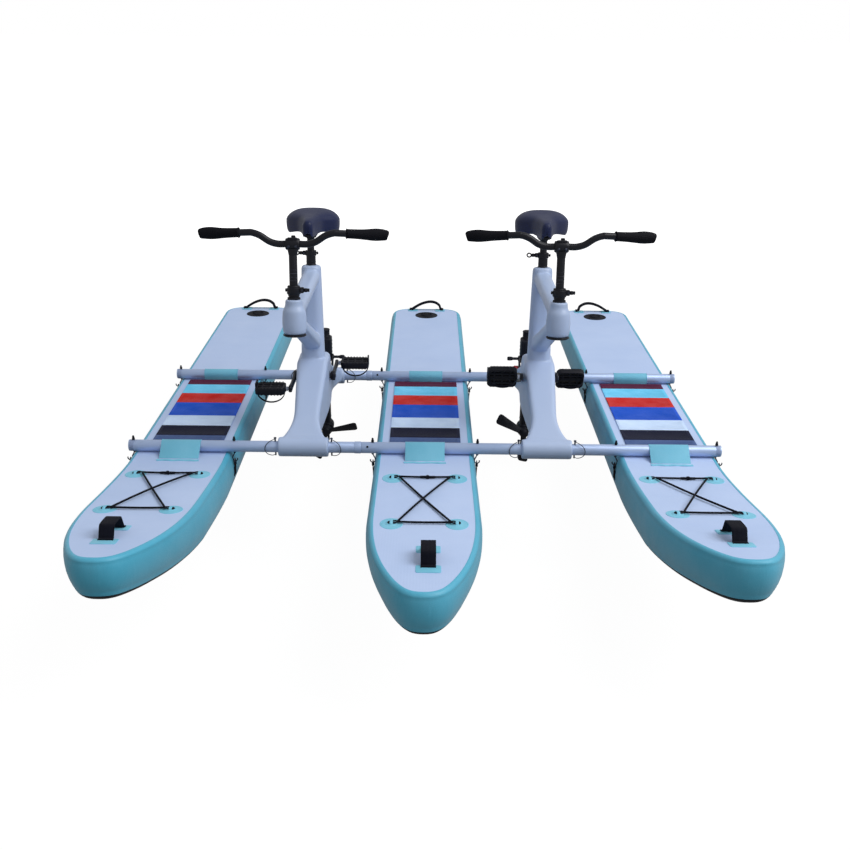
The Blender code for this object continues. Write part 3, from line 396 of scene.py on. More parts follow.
def newGroup(name, build, outputs=("Height", "Mask"), **values):
    group = bpy.data.node_groups.new(name, "ShaderNodeTree")
    kinds = {"Vector": "NodeSocketVector", "Colour": "NodeSocketColor"}
    wanted = [(label, "INPUT", value) for label, value in {"Vector": None, **values}.items()]
    for label, way, value in wanted + [(label, "OUTPUT", None) for label in outputs]:
        kind = kinds.get(label, "NodeSocketFloat")
        socket = group.interface.new_socket(label, in_out=way, socket_type=kind)
        if value is not None:
            socket.default_value = value
    given = group.nodes.new("NodeGroupInput").outputs
    out = group.nodes.new("NodeGroupOutput").inputs
    for label, result in zip(outputs, build(group, given)):
        group.links.new(result, out[label])
    return group


mottle = newGroup("mottledColour", mottled, ["Colour"], Colour=None, Amount=0.1, Scale=6.0)
specks = newGroup("fineGrain", speckled, Scale=900.0)
wear = newGroup("edgeWear", rubbed, ["Mask"], Reach=0.56)
puckering = newGroup("nosePuckers", puckered, ["Height"], Start=-1.5, End=-1.63)
patterns = {"weave": newGroup("plainWeave", woven, Across=1000.0, Along=1000.0),
            "diamond": newGroup("diamondGrooves", grooved, Pitch=0.012, Groove=0.16),
            "dimples": newGroup("stitchDimples", dimpled, Pitch=0.009),
            "drawn": newGroup("drawnLines", drawn, Scale=500.0)}
# the last number darkens a colour into the painted shade for pattern grooves and low threads, and into the
# darker drawn streaks on tube
smear, coatRoughness, grooveShadeAndStreakTone = 0.12, 0.12, 0.25


def finish(name, colour, roughness, vary, grain, metallic=0.0, coat=0.0, sheen=0.0, specular=0.5, broad=6.0,
           pattern=None, patternDepth=0.0001, patternShadeAndStreaks=0.0, patternValues=None, follow="Object",
           worn=None, wornReach=0.56, puckers=0.0):
    # grain is the scale and depth of the fine speckle, vary and broad the strength and scale of the mottling
    made = bpy.data.materials.new(name)
    made.use_nodes = True
    tree = made.node_tree
    place = put(tree, "ShaderNodeTexCoord").outputs["Object"]

    def group(kind, **values):
        return put(tree, "ShaderNodeGroup", {"Vector": place, **values}, node_tree=kind).outputs

    paint = group(mottle, Colour=colour, Amount=vary, Scale=broad)[0]
    speck = group(specks, Scale=grain[0])
    height = calc(tree, "MULTIPLY", speck["Height"], grain[1])
    if pattern:
        follows = place if follow == "Object" else put(tree, "ShaderNodeUVMap", uv_map="UVMap").outputs[0]
        relief = group(patterns[pattern], **{"Vector": follows, **(patternValues or {})})
        height = calc(tree, "MULTIPLY_ADD", relief["Height"], patternDepth, height)
        # painted shade: the grooves and low threads of a pattern are blended towards a darker copy of the
        # colour; on drawn tube the same blend gives random darker streaks
        if patternShadeAndStreaks:
            shade = (*[part * grooveShadeAndStreakTone for part in colour[:3]], 1)
            paint = blended(tree, calc(tree, "MULTIPLY", relief["Mask"], patternShadeAndStreaks), paint, shade)
    if puckers:
        height = calc(tree, "MULTIPLY_ADD", group(puckering)["Height"], puckers, height)
    if worn:
        paint = blended(tree, group(wear, Reach=wornReach)[0], paint, worn)
    rough = ranged(tree, speck["Mask"], 0.3, 0.7, max(0.05, roughness - smear / 2),
                   min(1.0, roughness + smear / 2))
    bump = put(tree, "ShaderNodeBump", {"Height": height, "Strength": 1.0, "Distance": 1.0}).outputs[0]
    shader = tree.nodes["Principled BSDF"].inputs
    for key, value in {"Base Color": paint, "Roughness": rough, "Normal": bump}.items():
        tree.links.new(value, shader[key])
    for key, value in {"Metallic": metallic, "Coat Weight": coat, "Coat Roughness": coatRoughness,
                       "Sheen Weight": sheen, "Specular IOR Level": specular}.items():
        shader[key].default_value = value
    return made


# the pattern shade values below paint shade into the grooves and between the threads of pads, cloth, webbing,
# cord and grips; on the drawn tube they give random darker streaks
dimplePitch, threads = 0.009, 900
closeWeave = {"Across": threads, "Along": threads}
deckSkin = finish("deckSkin", tone(188, 208, 244), 0.5, specular=0.3, vary=0.03, broad=3.0,
                  grain=(1400, 0.00004), pattern="dimples", patternDepth=0.00012,
                  patternValues={"Pitch": dimplePitch})
railSkin = finish("railSkin", tone(82, 177, 208), 0.45, specular=0.45, sheen=0.15, vary=0.05, broad=4.0,
                  grain=(1400, 0.00005), pattern="weave", patternDepth=0.00004, patternValues=closeWeave,
                  puckers=0.0016)
keelSkin = finish("keelSkin", tone(14, 16, 26), 0.6, specular=0.2, vary=0.12, grain=(1400, 0.00005))
patchSkin = finish("patchSkin", tone(130, 201, 227), 0.5, specular=0.3, vary=0.05, grain=(1200, 0.00005),
                   pattern="weave", patternDepth=0.00005, patternValues=closeWeave)
padLook = {"Pitch": 0.0144, "Groove": 0.16}


def padFinish(name, colour, shade, depth=0.0004):
    looks = {"vary": 0.08, "broad": 14.0, "grain": (1600, 0.00008), "sheen": 0.03, "specular": 0.15}
    rim = finish(f"{name}Rim", colour, 0.78, **looks)
    # the cut field's grooves get painted shade from the shade value, the plain rim none
    cut = finish(f"{name}Cut", colour, 0.82, pattern="diamond", patternDepth=depth, patternShadeAndStreaks=shade,
                 patternValues=padLook, **looks)
    return rim, cut


padGrey = padFinish("padGrey", tone(78, 98, 144), 0.25)
padBlack = padFinish("padBlack", tone(27, 30, 54), 0.75)
padWhite = padFinish("padWhite", tone(204, 226, 255), 0.03, depth=0.00015)
padBlue = padFinish("padBlue", tone(26, 86, 206), 0.25)
padRed = padFinish("padRed", tone(206, 50, 46), 0.22)
padSky = padFinish("padSky", tone(118, 210, 250), 0.1)
padMaroon = padFinish("padMaroon", tone(90, 34, 64), 0.3)
sleeveCloth = finish("sleeveCloth", tone(121, 194, 221), 0.6, specular=0.3, vary=0.05,
                     grain=(1500, 0.00004), sheen=0.1, pattern="weave", patternDepth=0.00012,
                     patternShadeAndStreaks=0.15, patternValues={"Across": 700, "Along": 700})
webbingCloth = finish("webbingCloth", tone(11, 13, 27), 0.8, specular=0.15, vary=0.15, sheen=0.02,
                      grain=(2000, 0.00004), pattern="weave", patternDepth=0.0003, patternShadeAndStreaks=0.5,
                      follow="UV", patternValues={"Across": 40, "Along": 500})
cordBraid = finish("cordBraid", tone(10, 12, 24), 0.75, specular=0.15, vary=0.2, grain=(2600, 0.00003),
                   pattern="weave", patternDepth=0.0002, patternShadeAndStreaks=0.5, follow="UV",
                   patternValues={"Across": 12, "Along": 700})
tubeMetal = finish("tubeMetal", tone(178, 198, 234), 0.42, metallic=0.3, sheen=0.1, vary=0.03,
                   grain=(1200, 0.000006), pattern="drawn", patternDepth=0.00001, patternShadeAndStreaks=0.08)
capPlastic = finish("capPlastic", tone(146, 162, 196), 0.5, specular=0.3, vary=0.05, grain=(1500, 0.00003))
framePaint = finish("framePaint", tone(177, 195, 227), 0.4, coat=0.12, vary=0.015, broad=2.5,
                    grain=(700, 0.000012), worn=tone(214, 222, 236), wornReach=0.6)
blackPaint = finish("blackPaint", tone(13, 15, 26), 0.42, coat=0.06, specular=0.3, vary=0.15,
                    grain=(1100, 0.00001), worn=tone(60, 64, 78), wornReach=0.58)
blackPlastic = finish("blackPlastic", tone(13, 15, 26), 0.55, specular=0.25, vary=0.15,
                      grain=(1900, 0.00004), worn=tone(46, 50, 64), wornReach=0.58)
gripRubber = finish("gripRubber", tone(8, 9, 19), 0.75, specular=0.18, vary=0.15, grain=(2200, 0.00006),
                    pattern="diamond", patternDepth=0.0003, patternShadeAndStreaks=0.35, follow="UV",
                    patternValues={"Pitch": 0.05, "Groove": 0.2})
steel = finish("steel", tone(150, 158, 176), 0.28, metallic=0.9, vary=0.08, grain=(900, 0.00001),
               worn=tone(200, 206, 220))
darkSteel = finish("darkSteel", tone(58, 62, 76), 0.35, metallic=0.8, vary=0.1, grain=(900, 0.00001),
                   worn=tone(120, 124, 138))
saddleSkin = finish("saddleSkin", tone(26, 35, 72), 0.42, specular=0.28, vary=0.08, sheen=0.03,
                    grain=(1300, 0.00009))
redPlastic = finish("redPlastic", tone(170, 28, 40), 0.4, coat=0.15, vary=0.06, grain=(1500, 0.00003))
metalBlack, plasticSteel, webbed = [blackPaint, darkSteel], [blackPlastic, steel], [webbingCloth]
print("finishes ready")


# camera, lights and floor

view = {"place": (0.0, -4.245, 1.69), "pitch": 24.0, "roll": 0.6, "focal": 1096.0, "row": 488.0,
        "column": 424.6, "frame": 850.0, "sensor": 36.0}
light = {"world": 0.44, "glossy": 0.42, "key": 690.0, "fill": 6.0, "size": 8.0, "floorZ": -0.262,
         "bounce": 0.16, "mirror": 0.3, "white": 1.61, "share": 0.6, "near": 3.0, "far": 9.0,
         "fillSize": 3.0, "floorHalf": 60.0, "keyPlace": (6.0, -1.8, 7.6), "keyTarget": (0, 0, 0.2),
         "fillPlace": (-2.2, -5.6, 3.4), "fillTarget": (0, -0.4, 0.3)}

lens = bpy.data.cameras.new("camera")
lens.sensor_width = view["sensor"]
lens.lens = view["focal"] / view["frame"] * view["sensor"]
lens.shift_x = (view["frame"] / 2 - view["column"]) / view["frame"]
lens.shift_y = (view["row"] - view["frame"] / 2) / view["frame"]
camera = bpy.data.objects.new("camera", lens)
camera.matrix_world = shift(*view["place"]) @ turn(90 - view["pitch"], "X") @ turn(view["roll"], "Z")
bpy.context.scene.collection.objects.link(camera)
bpy.context.scene.camera = camera
bpy.context.scene.view_settings.view_transform = "Standard"

world = bpy.data.worlds.new("world")
world.use_nodes = True
bpy.context.scene.world = world
sky = world.node_tree
sky.nodes.clear()
rays = put(sky, "ShaderNodeLightPath").outputs
soft = ranged(sky, rays["Is Glossy Ray"], 0.0, 1.0, light["world"], light["glossy"])
strength = calc(sky, "MAXIMUM", rays["Is Camera Ray"], soft)
glow = put(sky, "ShaderNodeBackground", {"Color": (1, 1, 1, 1), "Strength": strength})
put(sky, "ShaderNodeOutputWorld", {"Surface": glow.outputs[0]})


def areaLight(name, place, target, size, power):
    lamp = bpy.data.lights.new(name, "AREA")
    lamp.shape = "DISK"
    lamp.size = size
    lamp.energy = power
    obj = bpy.data.objects.new(name, lamp)
    way = (Vector(target) - Vector(place)).to_track_quat("-Z", "Y").to_matrix().to_4x4()
    obj.matrix_world = shift(*place) @ way
    bpy.context.scene.collection.objects.link(obj)


areaLight("key", light["keyPlace"], light["keyTarget"], light["size"], light["key"])
areaLight("fill", light["fillPlace"], light["fillTarget"], light["fillSize"], light["fill"])

floorMesh = bmesh.new()
bmesh.ops.create_grid(floorMesh, x_segments=1, y_segments=1, size=light["floorHalf"])
bmesh.ops.translate(floorMesh, vec=(0, 0, light["floorZ"]), verts=floorMesh.verts)
floor = linked("floor", floorMesh)
floorLook = bpy.data.materials.new("floorLook")
floorLook.use_nodes = True
tree = floorLook.node_tree
tree.nodes.clear()
rays = put(tree, "ShaderNodeLightPath").outputs
seen = calc(tree, "MAXIMUM", rays["Is Camera Ray"], rays["Is Transmission Ray"])
seen = calc(tree, "MAXIMUM", seen, calc(tree, "MULTIPLY", rays["Is Glossy Ray"], light["mirror"]))
place = put(tree, "ShaderNodeTexCoord").outputs["Object"]
reach = put(tree, "ShaderNodeVectorMath", {0: place}, operation="LENGTH").outputs["Value"]
share = ranged(tree, reach, light["near"], light["far"], light["share"])
matt = put(tree, "ShaderNodeBsdfDiffuse", {"Color": (*[light["bounce"]] * 3, 1)}).outputs[0]
white = put(tree, "ShaderNodeEmission", {"Color": (1, 1, 1, 1), "Strength": light["white"]}).outputs[0]
share = calc(tree, "MULTIPLY", seen, share)
mixed = put(tree, "ShaderNodeMixShader", {0: share, 1: matt, 2: white})
put(tree, "ShaderNodeOutputMaterial", {"Surface": mixed.outputs[0]})
floor.data.materials.append(floorLook)
print("camera and lights ready")


# pontoons

hull = {"bow": -1.635, "tail": 1.635, "half": 0.1635, "thick": 0.15, "bulge": 0.0265, "tailCorner": 0.08,
        "noseLength": 0.6, "lifts": {"left": (0.154, 1.26), "middle": (0.055, 1.05), "right": (0.17, 1.35)},
        "thinning": {"left": 0.021, "middle": 0.013, "right": 0.016}, "riseStart": -0.571, "tape": 0.0006,
        "tapeStep": 0.0009, "pinch": 0.15, "tuck": 0.016}


def deckLift(y, side):
    rise, curve = hull["lifts"][side]
    return rise * max(0.0, (hull["riseStart"] - y) / (hull["riseStart"] - hull["bow"])) ** curve


def bend(bm, side):
    # everything on a board is built flat first, then its nose is lifted
    noseRoot = hull["bow"] + hull["noseLength"]
    for vert in bm.verts:
        y, z = vert.co.y, vert.co.z
        taper = max(0.0, (noseRoot - y) / hull["noseLength"])
        low = max(0.0, 1 - z / hull["thick"])
        vert.co.x *= 1 - hull["pinch"] * low * min(1.0, 1.5 * taper)
        vert.co.z = z + deckLift(y, side) + low * hull["thinning"][side] * taper ** 2
    return bm


def hullOutline():
    noseRoot = hull["bow"] + hull["noseLength"]
    tip, stern = hull["bow"] + hull["bulge"] * 0.95, hull["tail"] - hull["bulge"] * 0.95
    corner = hull["tailCorner"]
    half = []
    for phi in spread(pi / 2, 0.0, 26):
        blunt = 1.12 - 0.26 * sin(phi) ** 8
        half.append((hull["half"] * max(0.0, cos(phi)) ** blunt,
                     noseRoot - sin(phi) ** (2 / 2.3) * (noseRoot - tip)))
    half += [(hull["half"], y) for y in spread(noseRoot, stern - corner, 34)[1:-1]]
    for angle in spread(0.0, pi / 2, 10):
        half.append((hull["half"] - corner * (1 - cos(angle)), stern - corner * (1 - sin(angle))))
    half += [(x, stern) for x in spread(hull["half"] - corner, 0.0, 4)[1:]]
    half[0], half[-1] = (0.0, tip), (0.0, stern)
    points = half + [(-x, y) for x, y in reversed(half[1:-1])]
    outline = []
    for index, (x, y) in enumerate(points):
        (ax, ay), (bx, by) = points[index - 1], points[(index + 1) % len(points)]
        way = Vector((by - ay, ax - bx)).normalized()
        outline.append((x, y, way.x, way.y))
    return outline


def hullRing(offset, z, outline):
    return [Vector((x + nx * offset, y + ny * offset, z)) for x, y, nx, ny in outline]


def railCurve(angle, proud):
    half = hull["thick"] / 2
    tuck = hull["tuck"] * max(0.0, 2 * angle / pi - 1) ** 1.5
    return hull["bulge"] * sin(angle) ** 0.8 + proud * sin(angle) - tuck, half + (half + proud) * cos(angle)


def makeHull(side):
    outline = hullOutline()
    top, step, tape = hull["thick"], hull["tapeStep"], hull["tape"]
    rings = [hullRing(-tape, top, outline), hullRing(-tape + 0.0005, top + step, outline)]
    looks = [1]
    for angle, proud in ((0.05, step), (0.16, step), (0.3, step), (0.45, step), (0.58, step), (0.6, 0),
                         (0.8, 0), (1.05, 0), (1.3, 0), (1.57, 0), (1.84, 0), (2.1, 0), (2.3, 0),
                         (2.32, step), (2.46, step)):
        offset, z = railCurve(angle, proud)
        rings.append(hullRing(offset, z, outline))
        looks.append(1)
    for angle in (2.475, 2.62, 2.77, 2.92, 3.05):
        offset, z = railCurve(angle, step * 1.8)
        rings.append(hullRing(offset, max(0.0, z), outline))
        looks.append(2)
    rings.append(hullRing(-0.01 - hull["tuck"], 0.0, outline))
    looks.append(2)
    bm = loft(rings, looks, capped=False)
    for ring, look in ((rings[0], 0), (rings[-1], 2)):
        ends = {point.to_tuple(5) for point in ring}
        edges = [edge for edge in bm.edges if edge.is_boundary
                 and all(vert.co.to_tuple(5) in ends for vert in edge.verts)]
        faces = bmesh.ops.contextual_create(bm, geom=edges)["faces"]
        faces[0].material_index = look
        for y in sorted({round(point.y, 5) for point in ring}):
            around = {part for face in faces for part in (*face.edges, *face.verts)}
            made = bmesh.ops.bisect_plane(bm, geom=[*faces, *around], plane_co=(0, y, 0), plane_no=(0, 1, 0),
                                          dist=2e-5)
            faces = only(made["geom"], bmesh.types.BMFace)
    bmesh.ops.recalc_face_normals(bm, faces=bm.faces)
    return bend(bm, side)


for side, x in boardX.items():
    piece("hull", side, makeHull(side), shift(x, 0, 0), "craft", [deckSkin, railSkin, keelSkin],
          "pontoon", sharp=50)
print("pontoons ready")


# deck fittings

pads = {"width": 0.27, "thick": 0.0044, "border": 0.011, "sunk": 0.0005, "seam": 0.0006, "stripes": (
    (0.06, 0.156, padGrey), (0.156, 0.262, padBlack), (0.262, 0.376, padWhite), (0.376, 0.53, padBlue),
    (0.53, 0.647, padRed), (0.647, 0.763, padSky), (0.763, 0.829, padMaroon))}
anchors = {"inward": 0.004, "spots": ((-0.722, 0.112), (-1.13, 0.104)), "radius": 0.037, "long": 1.2,
           "ringHalf": 0.014, "ringWide": 0.0085, "ringWire": 0.0024, "bridge": 0.01}
bungee = {"radius": 0.0035, "rear": 0.089, "front": 0.086, "above": 0.0078, "bend": 0.006, "knot": 0.0072,
          "sag": (-0.003, -0.0012, 0.0054, -0.0012), "knots": {"left": 0.0, "middle": 0.01, "right": 0.022}}
bowHandle = {"y": -1.39, "front": -0.073, "rear": 0.065, "height": 0.044, "width": 0.045, "thick": 0.004,
             "patch": (0.074, 0.05), "aside": {"left": -0.01, "middle": 0.013, "right": 0.003}}
sternHandle = {"y": 1.592, "half": 0.073, "height": 0.047, "width": 0.027, "thick": 0.0108,
               "patch": (0.052, 0.05)}
valve = {"y": 1.482, "ribs": 18}
deckTop = hull["thick"]


def flatPatch(size):
    return plate(rounded(size[0] / 2, size[1] / 2, 0.006, 4), 0.0016, 0.00072)


def deckPad():
    bm = bmesh.new()
    for index, (start, end, _) in enumerate(pads["stripes"]):
        slab = bmesh.new()
        bmesh.ops.create_cube(slab, size=1)
        bmesh.ops.scale(slab, vec=(pads["width"], end - start - 2 * pads["seam"], pads["thick"]),
                        verts=slab.verts)
        eased(slab, 0.0012, 2, [edge for edge in slab.edges if edge.calc_length() > 0.01])
        top = max(slab.faces, key=lambda face: (round(face.calc_center_median().z, 6), face.calc_area()))
        for width, depth in ((pads["border"], 0.0), (0.0008, -pads["sunk"])):
            bmesh.ops.inset_individual(slab, faces=[top], thickness=width, depth=depth, use_even_offset=True)
        top.material_index = 1
        for face in slab.faces:
            face.material_index += 2 * index
        join(bm, slab, shift(0, beamY["front"] + (start + end) / 2, deckTop + 0.0002 + pads["thick"] / 2))
    return bm


def anchorPatch():
    bm = spun([(0, 0.004), (0.01, 0.004), (0.0165, 0.0034), (0.0188, 0.002), (0.0205, 0.0014),
               (0.0225, 0.0016), (0.03, 0.0015), (0.0312, 0.001), (0.0324, 0.0015),
               (anchors["radius"] - 0.0012, 0.0014), (anchors["radius"], 0.0006), (anchors["radius"], -0.001),
               (0, -0.001)], 40)
    bmesh.ops.transform(bm, matrix=Matrix.Diagonal((1, anchors["long"], 1, 1)), verts=bm.verts)
    arch = [(0, y, z) for y, z in ((-0.0165, 0.001), (-0.014, 0.004), (-0.01, 0.0082), (0, 0.01),
                                   (0.01, 0.0082), (0.014, 0.004), (0.0165, 0.001))]
    join(bm, sweep(smoothPath(arch, 3), rounded(anchors["bridge"] / 2, 0.0009, 0.0008, 2), across=(1, 0, 0)))
    return bm


def anchorRing(lean):
    half, wide = anchors["ringHalf"], anchors["ringWide"]
    path = [((half - wide) * (1 if cos(a) > 0 else -1) + wide * cos(a), wide * sin(a), 0)
            for a in spread(pi / 16, 31 * pi / 16, 15)]
    bm = sweep(path, circle(anchors["ringWire"], 8), closed=True)
    bmesh.ops.transform(bm, matrix=shift(0, 0, 0.007) @ turn(lean, "Y"), verts=bm.verts)
    return bm


def cordPath(side):
    (rearY, _), (frontY, _) = anchors["spots"]
    turns = ((-bungee["rear"], rearY), (bungee["front"], frontY), (-bungee["front"], frontY),
             (bungee["rear"], rearY))
    corners = [Vector((x, y, deckTop + deckLift(y, side) + bungee["above"])) for x, y in turns]
    reach, steps = bungee["bend"], 22
    path = []
    for index, corner in enumerate(corners):
        last, following = corners[index - 1], corners[(index + 1) % 4]
        inward, outward = (corner - last).normalized(), (following - corner).normalized()
        path += [corner - inward * reach * 1.7, corner - inward * reach * 0.8,
                 corner + (inward - outward) * reach * 0.12, corner + outward * reach * 0.8,
                 corner + outward * reach * 1.7]
        for step in range(2, steps - 1):
            t = step / steps
            path.append(corner.lerp(following, t) + Vector((0, 0, bungee["sag"][index] * sin(pi * t))))
    return path


def cordKnot():
    bm = bmesh.new()
    turns = [(0.004 * sin(3.3 * a) + 0.0022 * (a - pi) / pi, bungee["knot"] * 0.55 * cos(2 * a),
              bungee["knot"] * 0.55 * sin(2 * a)) for a in spread(0.0, 2 * pi, 30)]
    join(bm, sweep(turns, circle(bungee["radius"] * 0.95, 8)))
    body = ((-0.027, 0, 1.02, 1.02), (-0.024, 0, 1.35, 1.3), (-0.012, 0.0006, 1.4, 1.3), (0, 0, 1.4, 1.3),
            (0.012, -0.0006, 1.4, 1.3), (0.024, 0, 1.35, 1.3), (0.027, 0, 1.02, 1.02))
    join(bm, sweep([(x, y, 0) for x, y, _, _ in body], circle(bungee["radius"], 12),
                   scales=[scale for _, _, *scale in body]))
    return bm


def handleStrip(width, thick, path, across):
    return sweep(smoothPath(path, 5), rounded(width / 2, thick / 2, thick * 0.45, 2), across=across)


def bowHandleStrip():
    front, rear, top = bowHandle["front"], bowHandle["rear"], bowHandle["height"]
    path = [(0, y, z) for y, z in (
        (front + 0.008, 0.003), (front + 0.019, 0.0038), (front + 0.0225, 0.012), (front + 0.027, top * 0.52),
        (front + 0.033, top * 0.84), (front + 0.044, top * 0.935), (0.0, top * 0.985), (rear - 0.04, top),
        (rear - 0.03, top * 0.96), (rear - 0.018, top * 0.62), (rear - 0.004, top * 0.17),
        (rear + 0.001, 0.0045), (rear + 0.014, 0.003))]
    return handleStrip(bowHandle["width"], bowHandle["thick"], path, (1, 0, 0))


def sternHandleStrip(side):
    half, height = sternHandle["half"], sternHandle["height"]
    toward = -1 if side == "right" else 1
    path = [(toward * x, 0, z) for x, z in (
        (-half - 0.018, 0.0053), (-half - 0.004, 0.006), (-half + 0.006, 0.013),
        (-half * 0.42, height * 0.72), (half * 0.14, height * 0.98), (half * 0.6, height * 0.93),
        (half * 0.93, height * 0.62), (half + 0.001, 0.014), (half + 0.007, 0.006), (half + 0.018, 0.0053))]
    return handleStrip(sternHandle["width"], sternHandle["thick"], path, (0, 1, 0))


def valveDisc():
    bm = spun([(0, 0.0085), (0.012, 0.0085), (0.0135, 0.0078), (0.0255, 0.008), (0.0285, 0.0072),
               (0.0296, 0.004), (0.033, 0.0034), (0.0345, 0.0021), (0.05, 0.0018), (0.052, 0.0032),
               (0.0565, 0.0032), (0.0588, 0.0018), (0.059, -0.0005), (0, -0.0005)], 64)
    for step in range(valve["ribs"]):
        spot = turn(step * 360 / valve["ribs"], "Z") @ shift(0.0235, 0, 0.0083)
        join(bm, box((0.01, 0.0016, 0.0022), 0.0005, 1), spot)
    join(bm, box((0.03, 0.0042, 0.0026), 0.001, 2), shift(0, 0, 0.0092))
    return bm


for side, x in boardX.items():
    place = shift(x, 0, 0)
    looks = [look for _, _, pair in pads["stripes"] for look in pair]
    piece("deckPad", side, deckPad(), place, "craft", looks, "deck_pad")
    patches, rings = bmesh.new(), bmesh.new()
    for y, reach in anchors["spots"]:
        tilt = atan2(deckLift(y + 0.03, side) - deckLift(y - 0.03, side), 0.06)
        for flip in (-1, 1):
            spot = shift(flip * reach, y, deckTop + deckLift(y, side)) @ turn(degrees(tilt), "X")
            join(patches, anchorPatch(), spot)
            join(rings, anchorRing(flip * 7), spot @ shift(-flip * anchors["inward"], 0, 0))
    y, ends = bowHandle["y"], (bowHandle["front"], bowHandle["rear"])
    rises = [deckLift(y + end, side) for end in ends]
    slope = (rises[1] - rises[0]) / (ends[1] - ends[0])
    stand = shift(bowHandle["aside"][side], y, deckTop + rises[0] - ends[0] * slope)
    stand = stand @ turn(degrees(atan2(slope, 1)), "X")
    for end in ends:
        join(patches, flatPatch(bowHandle["patch"]), stand @ shift(0, end, 0.0008))
    for flip in (-1, 1):
        join(patches, flatPatch(sternHandle["patch"]),
             shift(flip * sternHandle["half"], sternHandle["y"] - 0.004, deckTop + 0.0012))
    piece("patches", side, patches, place, "craft", [patchSkin])
    piece("anchorRings", side, rings, place, "craft", [blackPlastic])
    piece("bowHandle", side, bowHandleStrip(), place @ stand, "craft", webbed, "bow_handle")
    piece("sternHandle", side, sternHandleStrip(side), shift(x, sternHandle["y"], deckTop), "craft", webbed)
    piece("valve", side, valveDisc(), shift(x, valve["y"], deckTop), "craft", [blackPlastic])
    cord = join(bmesh.new(), sweep(cordPath(side), circle(bungee["radius"], 10), closed=True))
    y = anchors["spots"][0][0]
    join(cord, cordKnot(), shift(bungee["knots"][side], y,
                                 deckTop + deckLift(y, side) + bungee["above"] + bungee["sag"][3]))
    piece("bungeeCord", side, cord, place, "craft", [cordBraid], "bungee_cord")
print("deck fittings ready")


# beams, sleeves, hooks and pins

beam = {"end": 1.095, "split": -0.235, "cap": 0.0215}
sleeve = {"width": 0.145, "thick": 0.0016, "flap": 0.088, "hem": 0.017, "strip": 0.013, "wave": 0.0014}
hooks = {"inner": (0.194, -0.009), "outer": (0.178, 0.01), "bolt": 0.003, "knob": 0.0058, "knobTop": 0.0178,
         "drop": 0.025, "curl": 0.009, "wire": 0.0023, "tab": (0.076, 0.1896)}
pins = {"offset": 0.104, "radius": 0.003, "reach": 0.034, "bail": 0.036, "wire": 0.0014}


def beamTube(side):
    left = side == "left"
    outer = -beam["end"] if left else beam["end"]
    inner = beam["split"] - 0.0004 if left else beam["split"] + 0.0004
    bm = bar((outer, 0, 0), (inner, 0, 0), beamRadius, sides=64, bevel=0.0008)
    inward = 1 if left else -1
    cap = spun([(0, 0), (0.012, 0.0002), (0.018, 0.0012), (0.0206, 0.0034), (beam["cap"], 0.0062),
                (beam["cap"], 0.02), (beamRadius, 0.0204), (beamRadius - 0.002, 0.0204), (0, 0.0204)], 64)
    join(bm, cap, shift(outer - inward * 0.0003, 0, 0) @ turn(90 * inward, "Y"), 2)
    if left:
        collar = spun([(beamRadius - 0.001, -0.012), (beamRadius + 0.001, -0.0115),
                       (beamRadius + 0.0013, -0.01), (beamRadius + 0.0013, 0.01),
                       (beamRadius + 0.001, 0.0115), (beamRadius - 0.001, 0.012)], 64)
        join(bm, collar, shift(inner - 0.014, 0, 0) @ turn(90, "Y"), 0)
    else:
        join(bm, spun([(0, 0.003), (0.003, 0.0027), (0.004, 0.0014), (0.004, -0.002), (0, -0.002)], 20),
             shift(inner + 0.022, 0, 0) @ turn(62, "X") @ shift(0, 0, beamRadius), 1)
    return bm


def hookSet(flip, lean):
    bm = bmesh.new()
    join(bm, post(beamRadius - 0.003, beamRadius + 0.01, hooks["bolt"], 12))
    join(bm, post(beamRadius, beamRadius + 0.0022, 0.0055, 6, 0.0004))
    knob = spun([(0, hooks["knobTop"]), (0.0024, hooks["knobTop"] - 0.0004),
                 (0.0037, hooks["knobTop"] - 0.0024), (0.0041, 0.01), (hooks["knob"] * 0.94, 0.0072),
                 (hooks["knob"], 0.0048), (0.0044, 0.0026), (0, 0.0026)], 20)
    join(bm, knob, shift(0, 0, beamRadius), 1)
    low = -beamRadius - 0.004
    join(bm, post(-beamRadius + 0.002, low - 0.002, hooks["bolt"], 12))
    join(bm, post(-beamRadius - 0.003, -beamRadius, 0.0055, 6, 0.0004))
    drop, curl = hooks["drop"], hooks["curl"]
    path = [(0, 0, low + 0.002), (flip * lean * 0.5, 0, low - drop * 0.35),
            (flip * lean, 0, low - drop * 0.7)]
    path += [(flip * (lean + curl - curl * cos(a)), 0, low - drop - curl * sin(a) * 0.9)
             for a in spread(0.0, 1.12 * pi, 7)]
    join(bm, sweep(smoothPath(path, 3), circle(hooks["wire"], 8)))
    return bm


def hookStrap(flip, offset, lean):
    # snap body, webbing and a welded tab on the side wall of the pontoon
    low = -beamRadius - 0.004 - hooks["drop"] - hooks["curl"]
    height, out = hooks["tab"]
    tabZ, tabX = height - beamZ, flip * (out - offset)
    ring = flip * (lean + hooks["curl"] * 0.9)
    path = [(ring, 0, low + 0.004), (ring * 0.96, 0, low - 0.004), (ring * 0.6, 0, low - 0.02),
            (tabX + flip * 0.003, 0, tabZ + 0.008), (tabX + flip * 0.0026, 0, tabZ - 0.012)]
    bm = handleStrip(0.018, 0.003, path, (0, 1, 0))
    join(bm, box((0.004, 0.036, 0.034), 0.0016, 2), shift(tabX, 0, tabZ))
    loop = [(ring, 0.0085 * cos(a), low + 0.0035 + 0.006 * sin(a)) for a in spread(0.0, 2 * pi, 14)[:-1]]
    join(bm, sweep(loop, circle(0.0018, 8), closed=True), look=1)
    join(bm, bar((ring * 0.8, 0, low - 0.013), (ring, 0, low + 0.002), 0.0048, sides=14, bevel=0.0012))
    return bm


